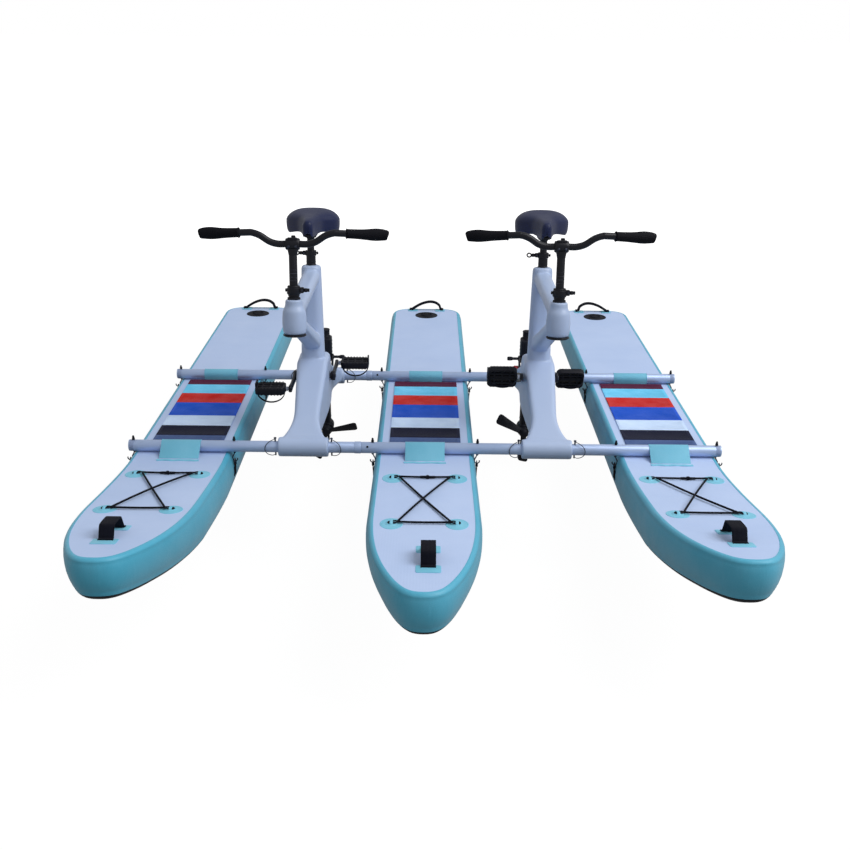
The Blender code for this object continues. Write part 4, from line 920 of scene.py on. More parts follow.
def lockPin(flip):
    bm = bmesh.new()
    reach, radius = pins["reach"], pins["radius"]
    join(bm, post(-reach, reach, radius, 14, 0.0008))
    join(bm, spun([(0, 0.003), (0.0042, 0.0026), (0.0052, 0.0012), (0.0052, -0.0012), (0, -0.0016)], 20),
         shift(0, 0, reach), 0)
    end = reach - 0.003
    bail = [(flip * pins["bail"] * cos(a), -0.005 - beamRadius * cos(a), end * sin(a))
            for a in spread(-1.3, 1.3, 14)]
    path = [(0, 0, -end), *bail, (0, 0, end)]
    join(bm, sweep(path, circle(pins["wire"], 8)))
    return bm


def sleevePath(front):
    out = beamRadius + 0.0003 + sleeve["thick"] / 2
    floor = deckTop + 0.001 - beamZ
    knee = sleeve["hem"] - sleeve["flap"] if front else -0.03
    path = [(0, 0.046, floor), (0, 0.034, floor + 0.0004), (0, 0.026, floor + 0.006)]
    for angle in spread(-0.1, 2.06 if front else 3.35, 16):
        path.append((0, out * cos(angle), out * sin(angle)))
    if front:
        a, b = Vector(path[-1]), Vector((0, knee, floor + 0.0006))
        for t in (0.2, 0.4, 0.6, 0.8, 0.94):
            path.append(tuple(a.lerp(b, t) + Vector((0, 0, -0.0016 * sin(pi * t)))))
        path.append((0, knee - 0.0015, floor + 0.0004))
    else:
        path += [(0, -0.0215, -0.012), (0, -0.02, floor + 0.003)]
    return path


def sleeveBand(front):
    bm = sweep(sleevePath(front), rounded(sleeve["width"] / 2, sleeve["thick"] / 2, 0.0007, 2),
               across=(1, 0, 0))
    for flip in (-1, 1):
        edge = [(flip * (sleeve["width"] / 2 - 0.0012), y, z) for x, y, z in sleevePath(front)[3:20]]
        join(bm, sweep(edge, circle(0.0016, 8)))
    if not front:
        return bm
    # pale tape welded to the deck, then a slightly wavy hem at its edge
    floor, half = deckTop + 0.001 - beamZ, sleeve["width"] / 2
    tape = rounded(half + 0.001, 0.0008, 0.0007, 2)
    join(bm, sweep([(0, sleeve["hem"] - sleeve["flap"] + 0.004, floor - 0.0004),
                    (0, -sleeve["flap"], floor - 0.0004)], tape, across=(1, 0, 0)), look=2)
    edge = [(x, -sleeve["flap"] + sleeve["wave"] * sin(90 * x), floor + 0.0004 + 0.0007 * sin(150 * x + 1))
            for x in spread(-half - 0.004, half + 0.004, 30)]
    join(bm, sweep(edge, rounded(sleeve["strip"] / 2, 0.0019, 0.0018, 3), up=(0, 0, 1)), look=1)
    return bm


for spot, y in beamY.items():
    stand = shift(0, y, beamZ)
    for side in bikeX:
        piece(f"beam_{spot}", side, beamTube(side), stand, "craft", [tubeMetal, blackPlastic, capPlastic],
              f"{spot}_beam")
    metal, straps = bmesh.new(), bmesh.new()
    for x in boardX.values():
        for flip in (-1, 1):
            offset, lean = hooks["outer" if x * flip > 0 else "inner"]
            place = shift(x + flip * offset, 0, 0)
            join(metal, hookSet(flip, lean), place)
            join(straps, hookStrap(flip, offset, lean), place)
    for x in bikeX.values():
        for flip in (-1, 1):
            join(metal, lockPin(flip), shift(x + flip * pins["offset"], 0, 0))
    piece("beamHooks", spot, metal, stand, "craft", [darkSteel, blackPlastic])
    piece("hookStraps", spot, straps, stand, "craft", [webbingCloth, darkSteel])
    for side, x in boardX.items():
        piece(f"sleeve_{spot}", side, sleeveBand(spot == "front"), stand @ shift(x, 0, 0), "craft",
              [sleeveCloth, patchSkin, deckSkin], f"{spot}_sleeve")
print("beams ready")


# bike frames

body = {"housing": 0.036, "housingWidth": 0.185, "flare": 0.15, "rearFlare": 0.24, "waist": 0.098,
        "arch": 0.012, "bbY": -0.015, "bbZ": 0.3, "shoulderWidth": 0.122, "shoulderZ": 0.385,
        "shoulderDepth": 0.115, "seatZ": 0.745, "columnTop": (0.076, 0.066), "columnFoot": (0.093, 0.084),
        "seatTilt": 5.0, "headY": -0.595, "headZ": 0.699, "headHalf": 0.059, "rake": 7.0,
        "topTube": (0.066, 0.052), "downTube": (0.062, 0.046), "voxel": 0.0034, "ease": 12, "brow": 0.93,
        "bbBoss": 0.034, "bbBore": 0.021, "postBore": 0.0146, "collarBore": 0.0174, "steererBore": 0.0176}
seatPlace = shift(0, body["bbY"] + 0.014, body["seatZ"]) @ turn(-body["seatTilt"], "X")
headPlace = shift(0, body["headY"], body["headZ"]) @ turn(-body["rake"], "X")
seatWay = Vector((0, sin(radians(body["seatTilt"])), cos(radians(body["seatTilt"]))))
headWay = Vector((0, sin(radians(body["rake"])), cos(radians(body["rake"]))))
seatSpot = Vector((0, body["bbY"] + 0.014, body["seatZ"]))
headSpot = Vector((0, body["headY"], body["headZ"]))


def crossRing(centre, halfWidth, halfHeight, corner, up=Vector((0, 0, 1)), steps=5):
    outline = rounded(halfWidth, halfHeight, corner, steps)
    return [Vector(centre) + Vector((x, 0, 0)) + up * z for x, z in outline]


def keel():
    front, rear = beamY["front"], beamY["rear"]
    blockFront = body["bbY"] - body["shoulderDepth"] * 0.55
    blockRear = body["bbY"] + body["shoulderDepth"] * 0.45
    frontRun, rearRun = blockFront - front, rear - blockRear
    stations = [(front + frontRun * t, t) for t in spread(0.0, 1.0, 22)]
    stations += [(rear - rearRun * t, t) for t in spread(1.0, 0.0, 22)]
    rings = []
    for y, rise in stations:
        near = min((y - front) / body["flare"], (rear - y) / body["rearFlare"])
        flare = max(0.0, 1 - near) ** 2
        width = body["waist"] + (body["housingWidth"] - 0.002 - body["waist"]) * flare
        width += (body["shoulderWidth"] - body["waist"]) * max(0.0, rise - 0.42) / 0.58
        low = beamZ - 0.7 * body["housing"] + body["arch"] * rise
        high = beamZ + body["brow"] * body["housing"]
        high += (body["shoulderZ"] - high) * rise ** 1.2
        rings.append(crossRing((0, y, (low + high) / 2), width / 2, (high - low) / 2, 0.018))
    return loft(rings)


def tubeBetween(start, end, first, last, corner):
    up = Vector((0, -(end - start).normalized().z, (end - start).normalized().y))
    rings = []
    for t in spread(0.0, 1.0, 10):
        wide, high = [(one + (other - one) * t) / 2 for one, other in zip(first, last)]
        rings.append(crossRing(start.lerp(end, t), wide, high, corner, up))
    return loft(rings)


def frameShell():
    bm = keel()
    for y in beamY.values():
        half = body["housingWidth"] / 2
        join(bm, rod(half, y, beamZ, body["housing"], 64, 0.003))
    drop = (body["seatZ"] - body["shoulderZ"] + 0.03) / seatWay.z
    up = Vector((0, -seatWay.z, seatWay.y))
    wideFoot, deepFoot = body["columnFoot"]
    wideTop, deepTop = body["columnTop"]
    stations = [(t, drop * (1 - t), 0.0) for t in spread(0.0, 1.0, 12)[:-1]]
    rings = []
    for t, back, trim in [*stations, (1, 0.008, 0.0), (1, 0, 0.012)]:
        rings.append(crossRing(seatSpot - seatWay * back, (wideFoot + (wideTop - wideFoot) * t - trim) / 2,
                               (deepFoot + (deepTop - deepFoot) * t - trim) / 2, 0.03, up, 7))
    join(bm, loft(rings))
    seatJoint = seatSpot - seatWay * (body["topTube"][1] / 2 + 0.016)
    headJoint = headSpot + headWay * 0.012
    wide, high = body["topTube"]
    join(bm, tubeBetween(headJoint, seatJoint, (wide * 0.9, high), (wide, high), 0.02))
    wide, high = body["downTube"]
    shoulder = Vector((0, body["bbY"] - 0.03, body["shoulderZ"] + 0.066))
    join(bm, tubeBetween(headSpot - headWay * 0.016, shoulder, (wide, high), (wide * 1.1, high * 1.3), 0.02))
    half = body["headHalf"]
    head = spun([(0, half), (0.0285, half), (0.03, half - 0.0015), (0.0302, half * 0.74),
                 (0.0312, half * 0.62), (0.0352, half * 0.5), (0.039, half * 0.34), (0.0405, half * 0.12),
                 (0.0414, -half * 0.25), (0.0414, -half * 0.5), (0.0402, -half * 0.76),
                 (0.0378, -half * 0.93), (0.034, -half), (0, -half)], 64)
    join(bm, head, headPlace)
    half = body["shoulderWidth"] / 2
    join(bm, rod(half + 0.001, body["bbY"], body["bbZ"], body["bbBoss"], 48, 0.002))
    width = body["housingWidth"]
    cutters = [rod(width, y, beamZ, beamRadius + 0.0003, 64) for y in beamY.values()]
    cutters.append(rod(width, body["bbY"], body["bbZ"], body["bbBore"], 48))
    for place, (low, high, radius) in ((seatPlace, (-0.28, 0.03, body["postBore"])),
                                       (seatPlace, (-0.0605, 0.05, body["collarBore"])),
                                       (headPlace, (-0.12, 0.09, body["steererBore"]))):
        cutters.append(join(bmesh.new(), post(low, high, radius, 40), place))
    return melted(bm, body["voxel"], body["ease"], cutters)


shell = frameShell()
for side, x in bikeX.items():
    piece("frameShell", side, shell.copy(), shift(x, 0, 0), "craft", [framePaint], "frame", sharp=32)
shell.free()
print("frames ready")


# seats: clamp collar on the frame, post and saddle, clamp lever

seat = {"collar": 0.0215, "post": 0.0135, "foot": -0.175, "head": 0.13, "clampLow": 0.036, "clampTop": 0.056,
        "lever": (-0.0383, 0, 0.046), "leverLength": 0.024, "ring": 0.008}
saddle = {"length": 0.262, "width": 0.21, "middle": 0.03, "top": 0.062, "rail": 0.018, "railWire": 0.0035,
          "roof": 0.0215}


def clampEars(bm, way, radius, z, apart, ear, soft, bolt, nut):
    # ears with a bolt on one side of a collar, a nut on the other
    for y in (-apart, apart):
        join(bm, box(ear, soft), shift(way * (radius + 0.0035), y, z))
    out, half, thick = bolt
    join(bm, bar((way * (radius + out), -half, z), (way * (radius + out), half, z), thick, sides=16,
                 bevel=0.0006), look=1)
    join(bm, spun(nut, 20), shift(way * (0.0006 - radius), 0, z) @ turn(-90 * way, "Y"), 0)


def markRings(bm, radius, start, pitch, count):
    for step in range(count):
        z = start + pitch * step
        join(bm, spun([(radius - 0.0003, z), (radius + 0.00025, z + 0.0002), (radius + 0.00025, z + 0.001),
                       (radius - 0.0003, z + 0.0012)], 48, closed=True), look=1)


def seatClamp():
    low, high, radius = seat["clampLow"], seat["clampTop"], seat["collar"]
    inner = seat["post"] + 0.0005
    bm = spun([(inner, high - 0.001), (inner + 0.001, high), (radius - 0.0015, high),
               (radius, high - 0.0015), (radius, low + 0.0015), (radius - 0.0015, low), (0.0182, low),
               (0.0182, 0.004), (0.0195, 0.0025), (0.0195, 0.0005), (0.017, 0.0005), (0.017, -0.06),
               (inner, -0.06)], 48, closed=True)
    join(bm, spun([(0.0183, 0.012), (0.019, 0.0125), (0.019, 0.0145), (0.0183, 0.015)], 48, closed=True))
    clampEars(bm, -1, radius, (low + high) / 2, 0.0047, (0.013, 0.0064, 0.016), 0.0016,
              (0.005, 0.0105, 0.0034), [(0, 0.0085), (0.004, 0.0078), (0.0058, 0.0055), (0.0058, 0.003),
                                        (0.0036, 0.0018), (0.0036, -0.003), (0, -0.003)])
    return bm


def camLever(direction, length, ring):
    # pivot about Z at the origin, then an open ring or, with no ring, a short paddle
    bm = post(-0.006, 0.006, 0.0072, 28, 0.0012)
    join(bm, post(-0.0066, 0.0066, 0.003, 16, 0.0005), look=1)
    if not ring:
        arm = [(direction * length * t, 0.0012 - 0.002 * t, 0) for t in (0.1, 0.3, 0.5, 0.7, 0.86, 0.96, 1.0)]
        join(bm, sweep(arm, rounded(0.003, 0.0058, 0.0026, 4), up=(0, 0, 1),
                       scales=[(1.3, 0.8), (1, 0.84), (0.94, 0.92), (0.96, 1), (0.94, 1), (0.8, 0.9),
                               (0.4, 0.6)]))
        return bm
    hub = direction * (length - ring)
    arm = [(direction * 0.004, 0.001, 0), (direction * length * 0.28, 0.001, 0),
           (hub - direction * ring, 0.0005, 0)]
    join(bm, sweep(smoothPath(arm, 4), rounded(0.0034, 0.0042, 0.002, 3), up=(0, 0, 1)))
    loop = [(hub + ring * cos(a), 0.0005 + 0.003 * sin(a), 0.007 * sin(a))
            for a in spread(0.0, 2 * pi, 24)[:-1]]
    join(bm, sweep(loop, rounded(0.0026, 0.0022, 0.0012, 2), closed=True, up=(0, 1, 0)))
    return bm


def seatPost():
    top = seat["head"]
    bm = post(seat["foot"], top - 0.012, seat["post"], 48, 0.0008)
    markRings(bm, seat["post"], 0.07, 0.008, 5)
    level = shift(0, 0, top) @ turn(5, "X")
    cradle = box((0.046, 0.04, 0.012), 0.003, 3)
    join(bm, cradle, level @ shift(0, 0, -0.0165))
    for flip in (-1, 1):
        join(bm, bar((flip * saddle["rail"], -0.02, -0.0055), (flip * saddle["rail"], 0.02, -0.0055), 0.007,
                     sides=24, bevel=0.001), level)
    join(bm, rod(0.027, 0, -0.0125, 0.0052, 20, 0.0008), level, look=1)
    join(bm, spun([(0.0139, top - 0.03), (0.016, top - 0.027), (0.0165, top - 0.018), (0.012, top - 0.01),
                   (0.01, top - 0.01), (0.01, top - 0.03)], 40, closed=True))
    return bm


def saddleRing(y, half, top, side, low):
    # a crowned section: middle top, shoulder, skirt edge, hollow underside
    crown = [(half * cos(angle) ** 0.66, side + (top - side) * sin(angle) ** 1.25)
             for angle in spread(pi / 2, 0.0, 12)]
    deep = side - low
    skirt = [(half * 1.0, side - deep * 0.35), (half * 0.985, side - deep * 0.66),
             (half * 0.955, side - deep * 0.88), (half * 0.9, low)]
    broad = min(1.0, max(0.0, (half - 0.02) / 0.025))
    roof = (low + 0.012) * (1 - broad) + saddle["roof"] * broad
    under = [(half * 0.83, low + 0.002), (half * 0.74, (low + roof) / 2), (half * 0.52, roof - 0.002),
             (half * 0.25, roof), (0, roof + 0.001)]
    right = crown + skirt + under
    points = right + [(-x, z) for x, z in reversed(right[1:-1])]
    return [Vector((x, y, z)) for x, z in points]


def saddleCover():
    # along, width, top, shoulder and skirt edge, as shares of the length, the width and the height
    stations = [(-0.515, 0.06, 0.58, 0.4, 0.16), (-0.5, 0.13, 0.74, 0.42, 0.0),
                (-0.46, 0.19, 0.86, 0.46, -0.13), (-0.34, 0.235, 0.93, 0.54, -0.17),
                (-0.2, 0.315, 0.94, 0.57, -0.15), (-0.06, 0.45, 0.95, 0.54, -0.14),
                (0.06, 0.7, 0.97, 0.46, -0.24), (0.18, 0.92, 1.0, 0.4, -0.38),
                (0.3, 1.0, 1.03, 0.36, -0.46), (0.4, 0.97, 1.04, 0.36, -0.44),
                (0.47, 0.82, 0.99, 0.36, -0.32), (0.5, 0.62, 0.88, 0.38, -0.12),
                (0.512, 0.38, 0.74, 0.42, 0.1)]
    path = smoothPath([(a, b, c) for a, b, c, _, _ in stations], 3)
    lows = smoothPath([(a, d, e) for a, _, _, d, e in stations], 3)
    return loft([saddleRing(saddle["middle"] + along * saddle["length"], width * saddle["width"] / 2,
                            *(share * saddle["top"] for share in (top, side, low)))
                 for (along, width, top), (_, side, low) in zip(path, lows)])


def saddleBase():
    bm = bmesh.new()
    for flip in (-1, 1):
        x = flip * saddle["rail"]
        path = [(x * 0.55, -0.082, 0.02), (x, -0.055, 0.016), (x, -0.034, 0.0024), (x, 0.0, 0.0016),
                (x, 0.042, 0.0024), (x * 1.4, 0.078, 0.014), (x * 1.7, 0.1, 0.022)]
        join(bm, sweep(smoothPath(path, 4), circle(saddle["railWire"], 12)), look=1)
    join(bm, box((0.03, 0.03, 0.016), 0.004, 2), shift(0, -0.078, 0.02))
    join(bm, box((0.078, 0.026, 0.018), 0.004, 2), shift(0, 0.096, 0.026))
    return bm


for side, x in bikeX.items():
    place = shift(x, 0, 0) @ seatPlace
    piece("seatCollar", side, seatClamp(), place, "craft", metalBlack, "seat_clamp")
    piece("seatLever", side, camLever(-1, seat["leverLength"], seat["ring"]), place @ shift(*seat["lever"]),
          "seat_lever", metalBlack, "seat_lever")
    piece("seatPost", side, seatPost(), place, "seat", metalBlack, "seat_post")
    place = place @ shift(0, 0, seat["head"] + 0.0003) @ turn(5, "X")
    cover = piece("saddleCover", side, saddleCover(), place, "seat", [saddleSkin], "saddle",
                  sharp=55, subdivide=1)
    piece("saddleBase", side, saddleBase(), place, "seat", [blackPlastic, blackPaint])
print("seats ready")


# steering: sleeve in the head tube, bar post, bar and grips

steer = {"flange": 0.0395, "neckLow": 0.0593, "collarLow": 0.0753, "collarTop": 0.1053, "collar": 0.0235,
         "lever": (0.0403, 0, 0.0903), "leverLength": 0.013, "notches": 12}
bars = {"post": 0.014, "height": 0.243, "bar": 0.0115, "rise": 0.036, "half": 0.312, "sweep": 0.034,
        "drop": 0.008, "clampHalf": 0.0235, "grip": 0.143, "gripRadius": 0.016}


def steererPieces():
    low, high, radius = steer["collarLow"], steer["collarTop"], steer["collar"]
    inner, half = bars["post"] + 0.0004, body["headHalf"]
    bm = spun([(inner, high - 0.001), (inner + 0.001, high), (0.0195, high), (0.0205, high - 0.0012),
               (0.0205, high - 0.006), (radius, high - 0.0085), (radius, low + 0.0035),
               (radius - 0.002, low + 0.001), (0.0195, low), (0.0195, low - 0.0042), (0.0178, low - 0.0052),
               (0.0178, low - 0.008), (0.0215, low - 0.0092), (0.0225, steer["neckLow"] + 0.0014),
               (0.022, steer["neckLow"]), (0.0172, steer["neckLow"]), (0.0172, -half),
               (steer["flange"] - 0.001, -half - 0.0003), (steer["flange"], -half - 0.0013),
               (steer["flange"], -half - 0.004), (steer["flange"] - 0.0035, -half - 0.007),
               (0.022, -half - 0.0075), (inner, -half - 0.0075)], 64, closed=True)
    clampEars(bm, 1, radius, (low + high) / 2, 0.0052, (0.014, 0.007, 0.019), 0.0018, (0.0055, 0.012, 0.0036),
              [(0, 0.0062), (0.0045, 0.0058), (0.0062, 0.004), (0.0062, 0.0022), (0.004, 0.0012),
               (0.004, -0.003), (0, -0.003)])
    for step in range(steer["notches"]):
        notch = turn(step * 360 / steer["notches"], "Z") @ shift(0.0204, 0, high - 0.0032)
        join(bm, box((0.0022, 0.0016, 0.0042), 0.0004, 1), notch)
    return bm


def barPost():
    foot, height, half = -0.02, bars["height"], bars["clampHalf"]
    bm = post(foot, height - 0.013, bars["post"], 48, 0.0006)
    markRings(bm, bars["post"], 0.122, 0.012, 4)
    neck = [(0, 0, height - 0.036), (0, 0, height - 0.024), (0, 0, height - 0.014)]
    join(bm, sweep(neck, circle(1.0, 32), scales=[(0.0146, 0.0146), (0.0168, 0.016), (0.0205, 0.0168)],
                   up=(0, 1, 0)))
    shell = [(bars["bar"] + 0.0008, -half), (0.0175, -half), (0.0192, -half + 0.0022),
             (0.0198, -half * 0.45), (0.0205, 0), (0.0198, half * 0.45), (0.0192, half - 0.0022),
             (0.0175, half), (bars["bar"] + 0.0008, half)]
    join(bm, spun(shell, 48, closed=True), shift(0, 0, height) @ turn(90, "Y"))
    join(bm, box((0.033, 0.03, 0.01), 0.0035, 3), shift(0, -0.001, height + 0.0165) @ turn(-6, "X"))
    join(bm, spun([(0, 0.0125), (0.0055, 0.012), (0.0075, 0.01), (0.0075, 0.001), (0, 0.001)], 24),
         shift(0.003, -0.002, height + 0.0165))
    for xs in (-0.012, 0.012):
        join(bm, bar((xs, -0.012, height - 0.01), (xs, -0.0225, height - 0.006), 0.0042, sides=16,
                     bevel=0.0008), look=1)
    return bm


def barRoute(flip):
    z = bars["height"]
    rise = bars["rise"]
    return [(0, 0, z), (flip * 0.02, 0, z), (flip * 0.05, 0, z), (flip * 0.078, -0.001, z + 0.008),
            (flip * 0.108, -0.002, z + rise * 0.75), (flip * 0.135, 0, z + rise),
            (flip * 0.16, 0.004, z + rise), (flip * bars["half"], bars["sweep"], z + rise - bars["drop"])]


def handlebarTube():
    points = [*reversed(barRoute(-1)[1:]), *barRoute(1)]
    return sweep(smoothPath(points, 6), circle(bars["bar"], 24), up=(0, 1, 0))


def gripSleeve(flip):
    start, end = Vector(barRoute(flip)[-2]), Vector(barRoute(flip)[-1])
    way = (end - start).normalized()
    begin = end - way * (bars["grip"] - 0.006)
    shape = ((0.0, 0.86, 0.86, 0.0), (0.008, 0.9, 0.9, 0.0), (0.012, 1.06, 1.06, 0.0),
             (0.026, 1.08, 1.08, 0.0), (0.034, 0.96, 0.98, 0.0), (0.3, 0.98, 1.02, 0.0),
             (0.48, 1.02, 1.12, 0.1), (0.62, 1.04, 1.24, 0.6), (0.74, 1.02, 1.28, 1.2),
             (0.86, 0.98, 1.2, 1.4), (0.94, 0.94, 1.1, 1.0), (0.985, 0.84, 0.98, 0.6), (1.0, 0.6, 0.7, 0.2))
    path, scales = [], []
    for t, wide, high, lift in shape:
        path.append(begin + way * (bars["grip"] * t) + Vector((0, 0, lift * 0.0012)))
        scales.append((wide * bars["gripRadius"], high * bars["gripRadius"]))
    rows, wides = smoothPath(path, 3), smoothPath([(a, b, 0) for a, b in scales], 3)
    return sweep(rows, circle(1.0, 28), scales=[(item.x, item.y) for item in wides], up=(0, 0, 1))


for side, x in bikeX.items():
    place = shift(x, 0, 0) @ headPlace
    piece("steererTube", side, steererPieces(), place, "steering", metalBlack, "steerer")
    piece("barLever", side, camLever(1, steer["leverLength"], 0), place @ shift(*steer["lever"]), "bar_lever",
          metalBlack, "bar_lever")
    piece("barPost", side, barPost(), place, "bars", metalBlack, "bar_post")
    piece("barTube", side, handlebarTube(), place, "bars", [blackPaint], "handlebar")
    piece("grips", side, join(join(bmesh.new(), gripSleeve(-1)), gripSleeve(1)), place, "bars", [gripRubber],
          sharp=60)
print("steering ready")


# cranks and pedals

crank = {"length": 0.17, "axle": 0.0105, "half": 0.0705, "thick": 0.014, "gear": 0.0185,
         "turns": {"left": 0, "right": -19}}
pedal = {"start": 0.0965, "width": 0.115, "depth": 0.09, "thick": 0.029, "axle": 0.0065, "drop": 0.046,
         "strapWidth": 0.012, "turns": {"left": 0, "right": -64}, "studs": 8, "studPitch": 0.0125}


def crankArm(flip):
    # from the axle at the origin towards +Y at +X, towards -Y at -X
    middle = flip * (crank["half"] + crank["thick"] / 2)
    rings = []
    for t, half, thick, inset in ((-0.105, 0.008, 0.5, 0.0), (-0.085, 0.0145, 0.86, 0.0),
                                  (-0.04, 0.0186, 1.0, 0.0), (0.0, 0.0192, 1.0, 0.0),
                                  (0.05, 0.019, 1.0, 0.0), (0.12, 0.0166, 0.92, 0.0005),
                                  (0.22, 0.0142, 0.84, 0.001), (0.45, 0.0126, 0.8, 0.0012),
                                  (0.75, 0.0118, 0.8, 0.001), (0.9, 0.0128, 0.88, 0.0004),
                                  (1.0, 0.014, 0.96, 0.0), (1.045, 0.0122, 0.94, 0.0),
                                  (1.075, 0.0078, 0.7, 0.0)):
        y = flip * crank["length"] * t
        rings.append([Vector((middle - flip * inset + u, y, v))
                      for u, v in rounded(crank["thick"] / 2 * thick, half, 0.0042, 3)])
    bm = loft(rings)
    outer = middle + flip * crank["thick"] / 2
    cap = spun([(0, 0.0026), (0.0068, 0.0024), (0.0086, 0.0012), (0.009, -0.001), (0, -0.001)], 32)
    join(bm, cap, shift(outer, 0, 0) @ turn(90 * flip, "Y"), 1)
    boss = spun([(0.0108, 0), (0.017, 0), (0.0182, -0.0012), (0.0182, -0.0045), (0.0108, -0.0045)], 40,
                closed=True)
    join(bm, boss, shift(flip * (crank["half"] + 0.0002), 0, 0) @ turn(90 * flip, "Y"))
    return bm


def crankSet():
    reach = crank["half"] + 0.004
    bm = join(bmesh.new(), rod(reach, 0, 0, crank["axle"], 32), look=1)
    gear = crank["gear"]
    join(bm, spun([(crank["axle"] - 0.001, -0.0105), (gear - 0.004, -0.01), (gear, -0.006), (gear, 0.006),
                   (gear - 0.004, 0.01), (crank["axle"] - 0.001, 0.0105)], 40), turn(90, "Y"), 1)
    for flip in (-1, 1):
        join(bm, crankArm(flip))
    return bm


def pedalBody(flip):
    start, width, depth, thick = pedal["start"], pedal["width"], pedal["depth"], pedal["thick"]
    middle = flip * (start + width / 2)
    axle = bar((flip * (crank["half"] + 0.002), 0, 0), (flip * (start + 0.012), 0, 0), pedal["axle"])
    bm = join(bmesh.new(), axle, look=1)
    join(bm, bar((flip * (crank["half"] + crank["thick"] + 0.0012), 0, 0), (flip * (start - 0.0006), 0, 0),
                 0.009, sides=6, bevel=0.0006), look=1)
    join(bm, bar((flip * (start - 0.002), 0, 0), (flip * (start + width - 0.004), 0, 0), 0.0118, sides=28,
                 bevel=0.001))
    # frame of the platform, with cross bars and grip studs
    outline = rounded(width / 2, depth / 2, 0.02, 6)
    inside = rounded(width / 2 - 0.0095, depth / 2 - 0.0095, 0.012, 6)
    ringBody = bmesh.new()
    loops = []
    for points, z in ((outline, thick / 2 - 0.002), (outline, -thick / 2 + 0.002),
                      (inside, -thick / 2 + 0.002), (inside, thick / 2 - 0.002)):
        loops.append([ringBody.verts.new((x, y, z)) for x, y in points])
    count = len(outline)
    for a, b in zip(loops, loops[1:] + loops[:1]):
        for j in range(count):
            ringBody.faces.new((a[j], a[(j + 1) % count], b[(j + 1) % count], b[j]))
    bmesh.ops.recalc_face_normals(ringBody, faces=ringBody.faces)
    eased(ringBody, 0.0018, 2, [edge for edge in ringBody.edges if edge.calc_face_angle(0) > 1.0])
    join(bm, ringBody, shift(middle, 0, 0))
    for y in (-0.024, 0.024):
        join(bm, box((width - 0.014, 0.009, thick - 0.006), 0.0015, 2), shift(middle, y, 0))
    for x in (-0.03, 0.0, 0.03):
        join(bm, box((0.007, depth - 0.014, thick - 0.009), 0.0012, 2), shift(middle + x, 0, 0))
    for y in (-depth / 2 + 0.0048, depth / 2 - 0.0048):
        for step in range(pedal["studs"]):
            x = (step - (pedal["studs"] - 1) / 2) * pedal["studPitch"]
            join(bm, bar((middle + x, y, -thick / 2 - 0.0006), (middle + x, y, thick / 2 + 0.0012), 0.0022,
                         sides=8, bevel=0.0004))
    outer = middle + flip * (width / 2 - 0.003)
    join(bm, box((0.0062, 0.05, 0.017), 0.0022, 2), shift(outer - flip * 0.0002, 0, thick / 2 + 0.0062))
    return bm


def pedalStrap(flip):
    middle, half = flip * (pedal["start"] + pedal["width"] / 2), pedal["width"] / 2 - 0.0028
    top = -pedal["thick"] / 2 + 0.005
    path = [(middle - half, 0, top + 0.006)]
    path += [(middle + half * cos(a), 0, top + pedal["drop"] * sin(a)) for a in spread(pi, 2 * pi, 20)]
    path.append((middle + half, 0, top + 0.006))
    return sweep(path, rounded(pedal["strapWidth"] / 2, 0.0016, 0.0014, 3), across=(0, 1, 0))


for side, x in bikeX.items():
    lean = crank["turns"][side]
    place = shift(x, body["bbY"], body["bbZ"]) @ turn(lean, "X")
    piece("crankArms", side, crankSet(), place, "crank", metalBlack, "crank_set")
    for flip, word in ((1, "plus"), (-1, "minus")):
        spot = place @ shift(0, flip * crank["length"], 0) @ turn(pedal["turns"][side] - lean, "X")
        piece(f"pedalBody_{word}", side, pedalBody(flip), spot, f"pedal_{word}", plasticSteel,
              f"pedal_{word}_x")
        piece(f"pedalStrap_{word}", side, pedalStrap(flip), spot, f"pedal_{word}", webbed)
print("cranks ready")


# drives: tilting head, swivelling leg and propeller

drive = {"pivotY": 0.45, "pivotZ": 0.235, "bar": 0.006, "barHalf": 0.088, "headHalf": 0.029,
         "headFront": 0.437, "headDepth": 0.075, "headLow": 0.213, "blockTop": 0.318, "headTop": 0.345,
         "swivelY": 0.49, "swivel": 0.014, "capTop": 0.0072, "capRadius": 0.021, "legTop": 0.185,
         "propZ": -0.11, "chord": (0.03, 0.05), "half": 0.017, "case": 0.028, "caseFront": 0.036,
         "caseRear": 0.07, "skeg": 0.055, "plateBack": 0.4113, "earIn": 0.031, "earThick": 0.007,
         "ear": 0.014, "ribs": 4}
blades = {"hub": 0.021, "hubLength": 0.048, "reach": 0.14, "root": 0.026, "tip": 0.05, "corner": 0.012,
          "thick": 0.0042, "pitch": 28, "gap": 0.0003, "turns": {"left": -10, "right": -30}, "shaft": 0.007,
          "count": 3}
knob = {"radius": 0.013, "thick": 0.02, "y": 0.431, "z": 0.1932}


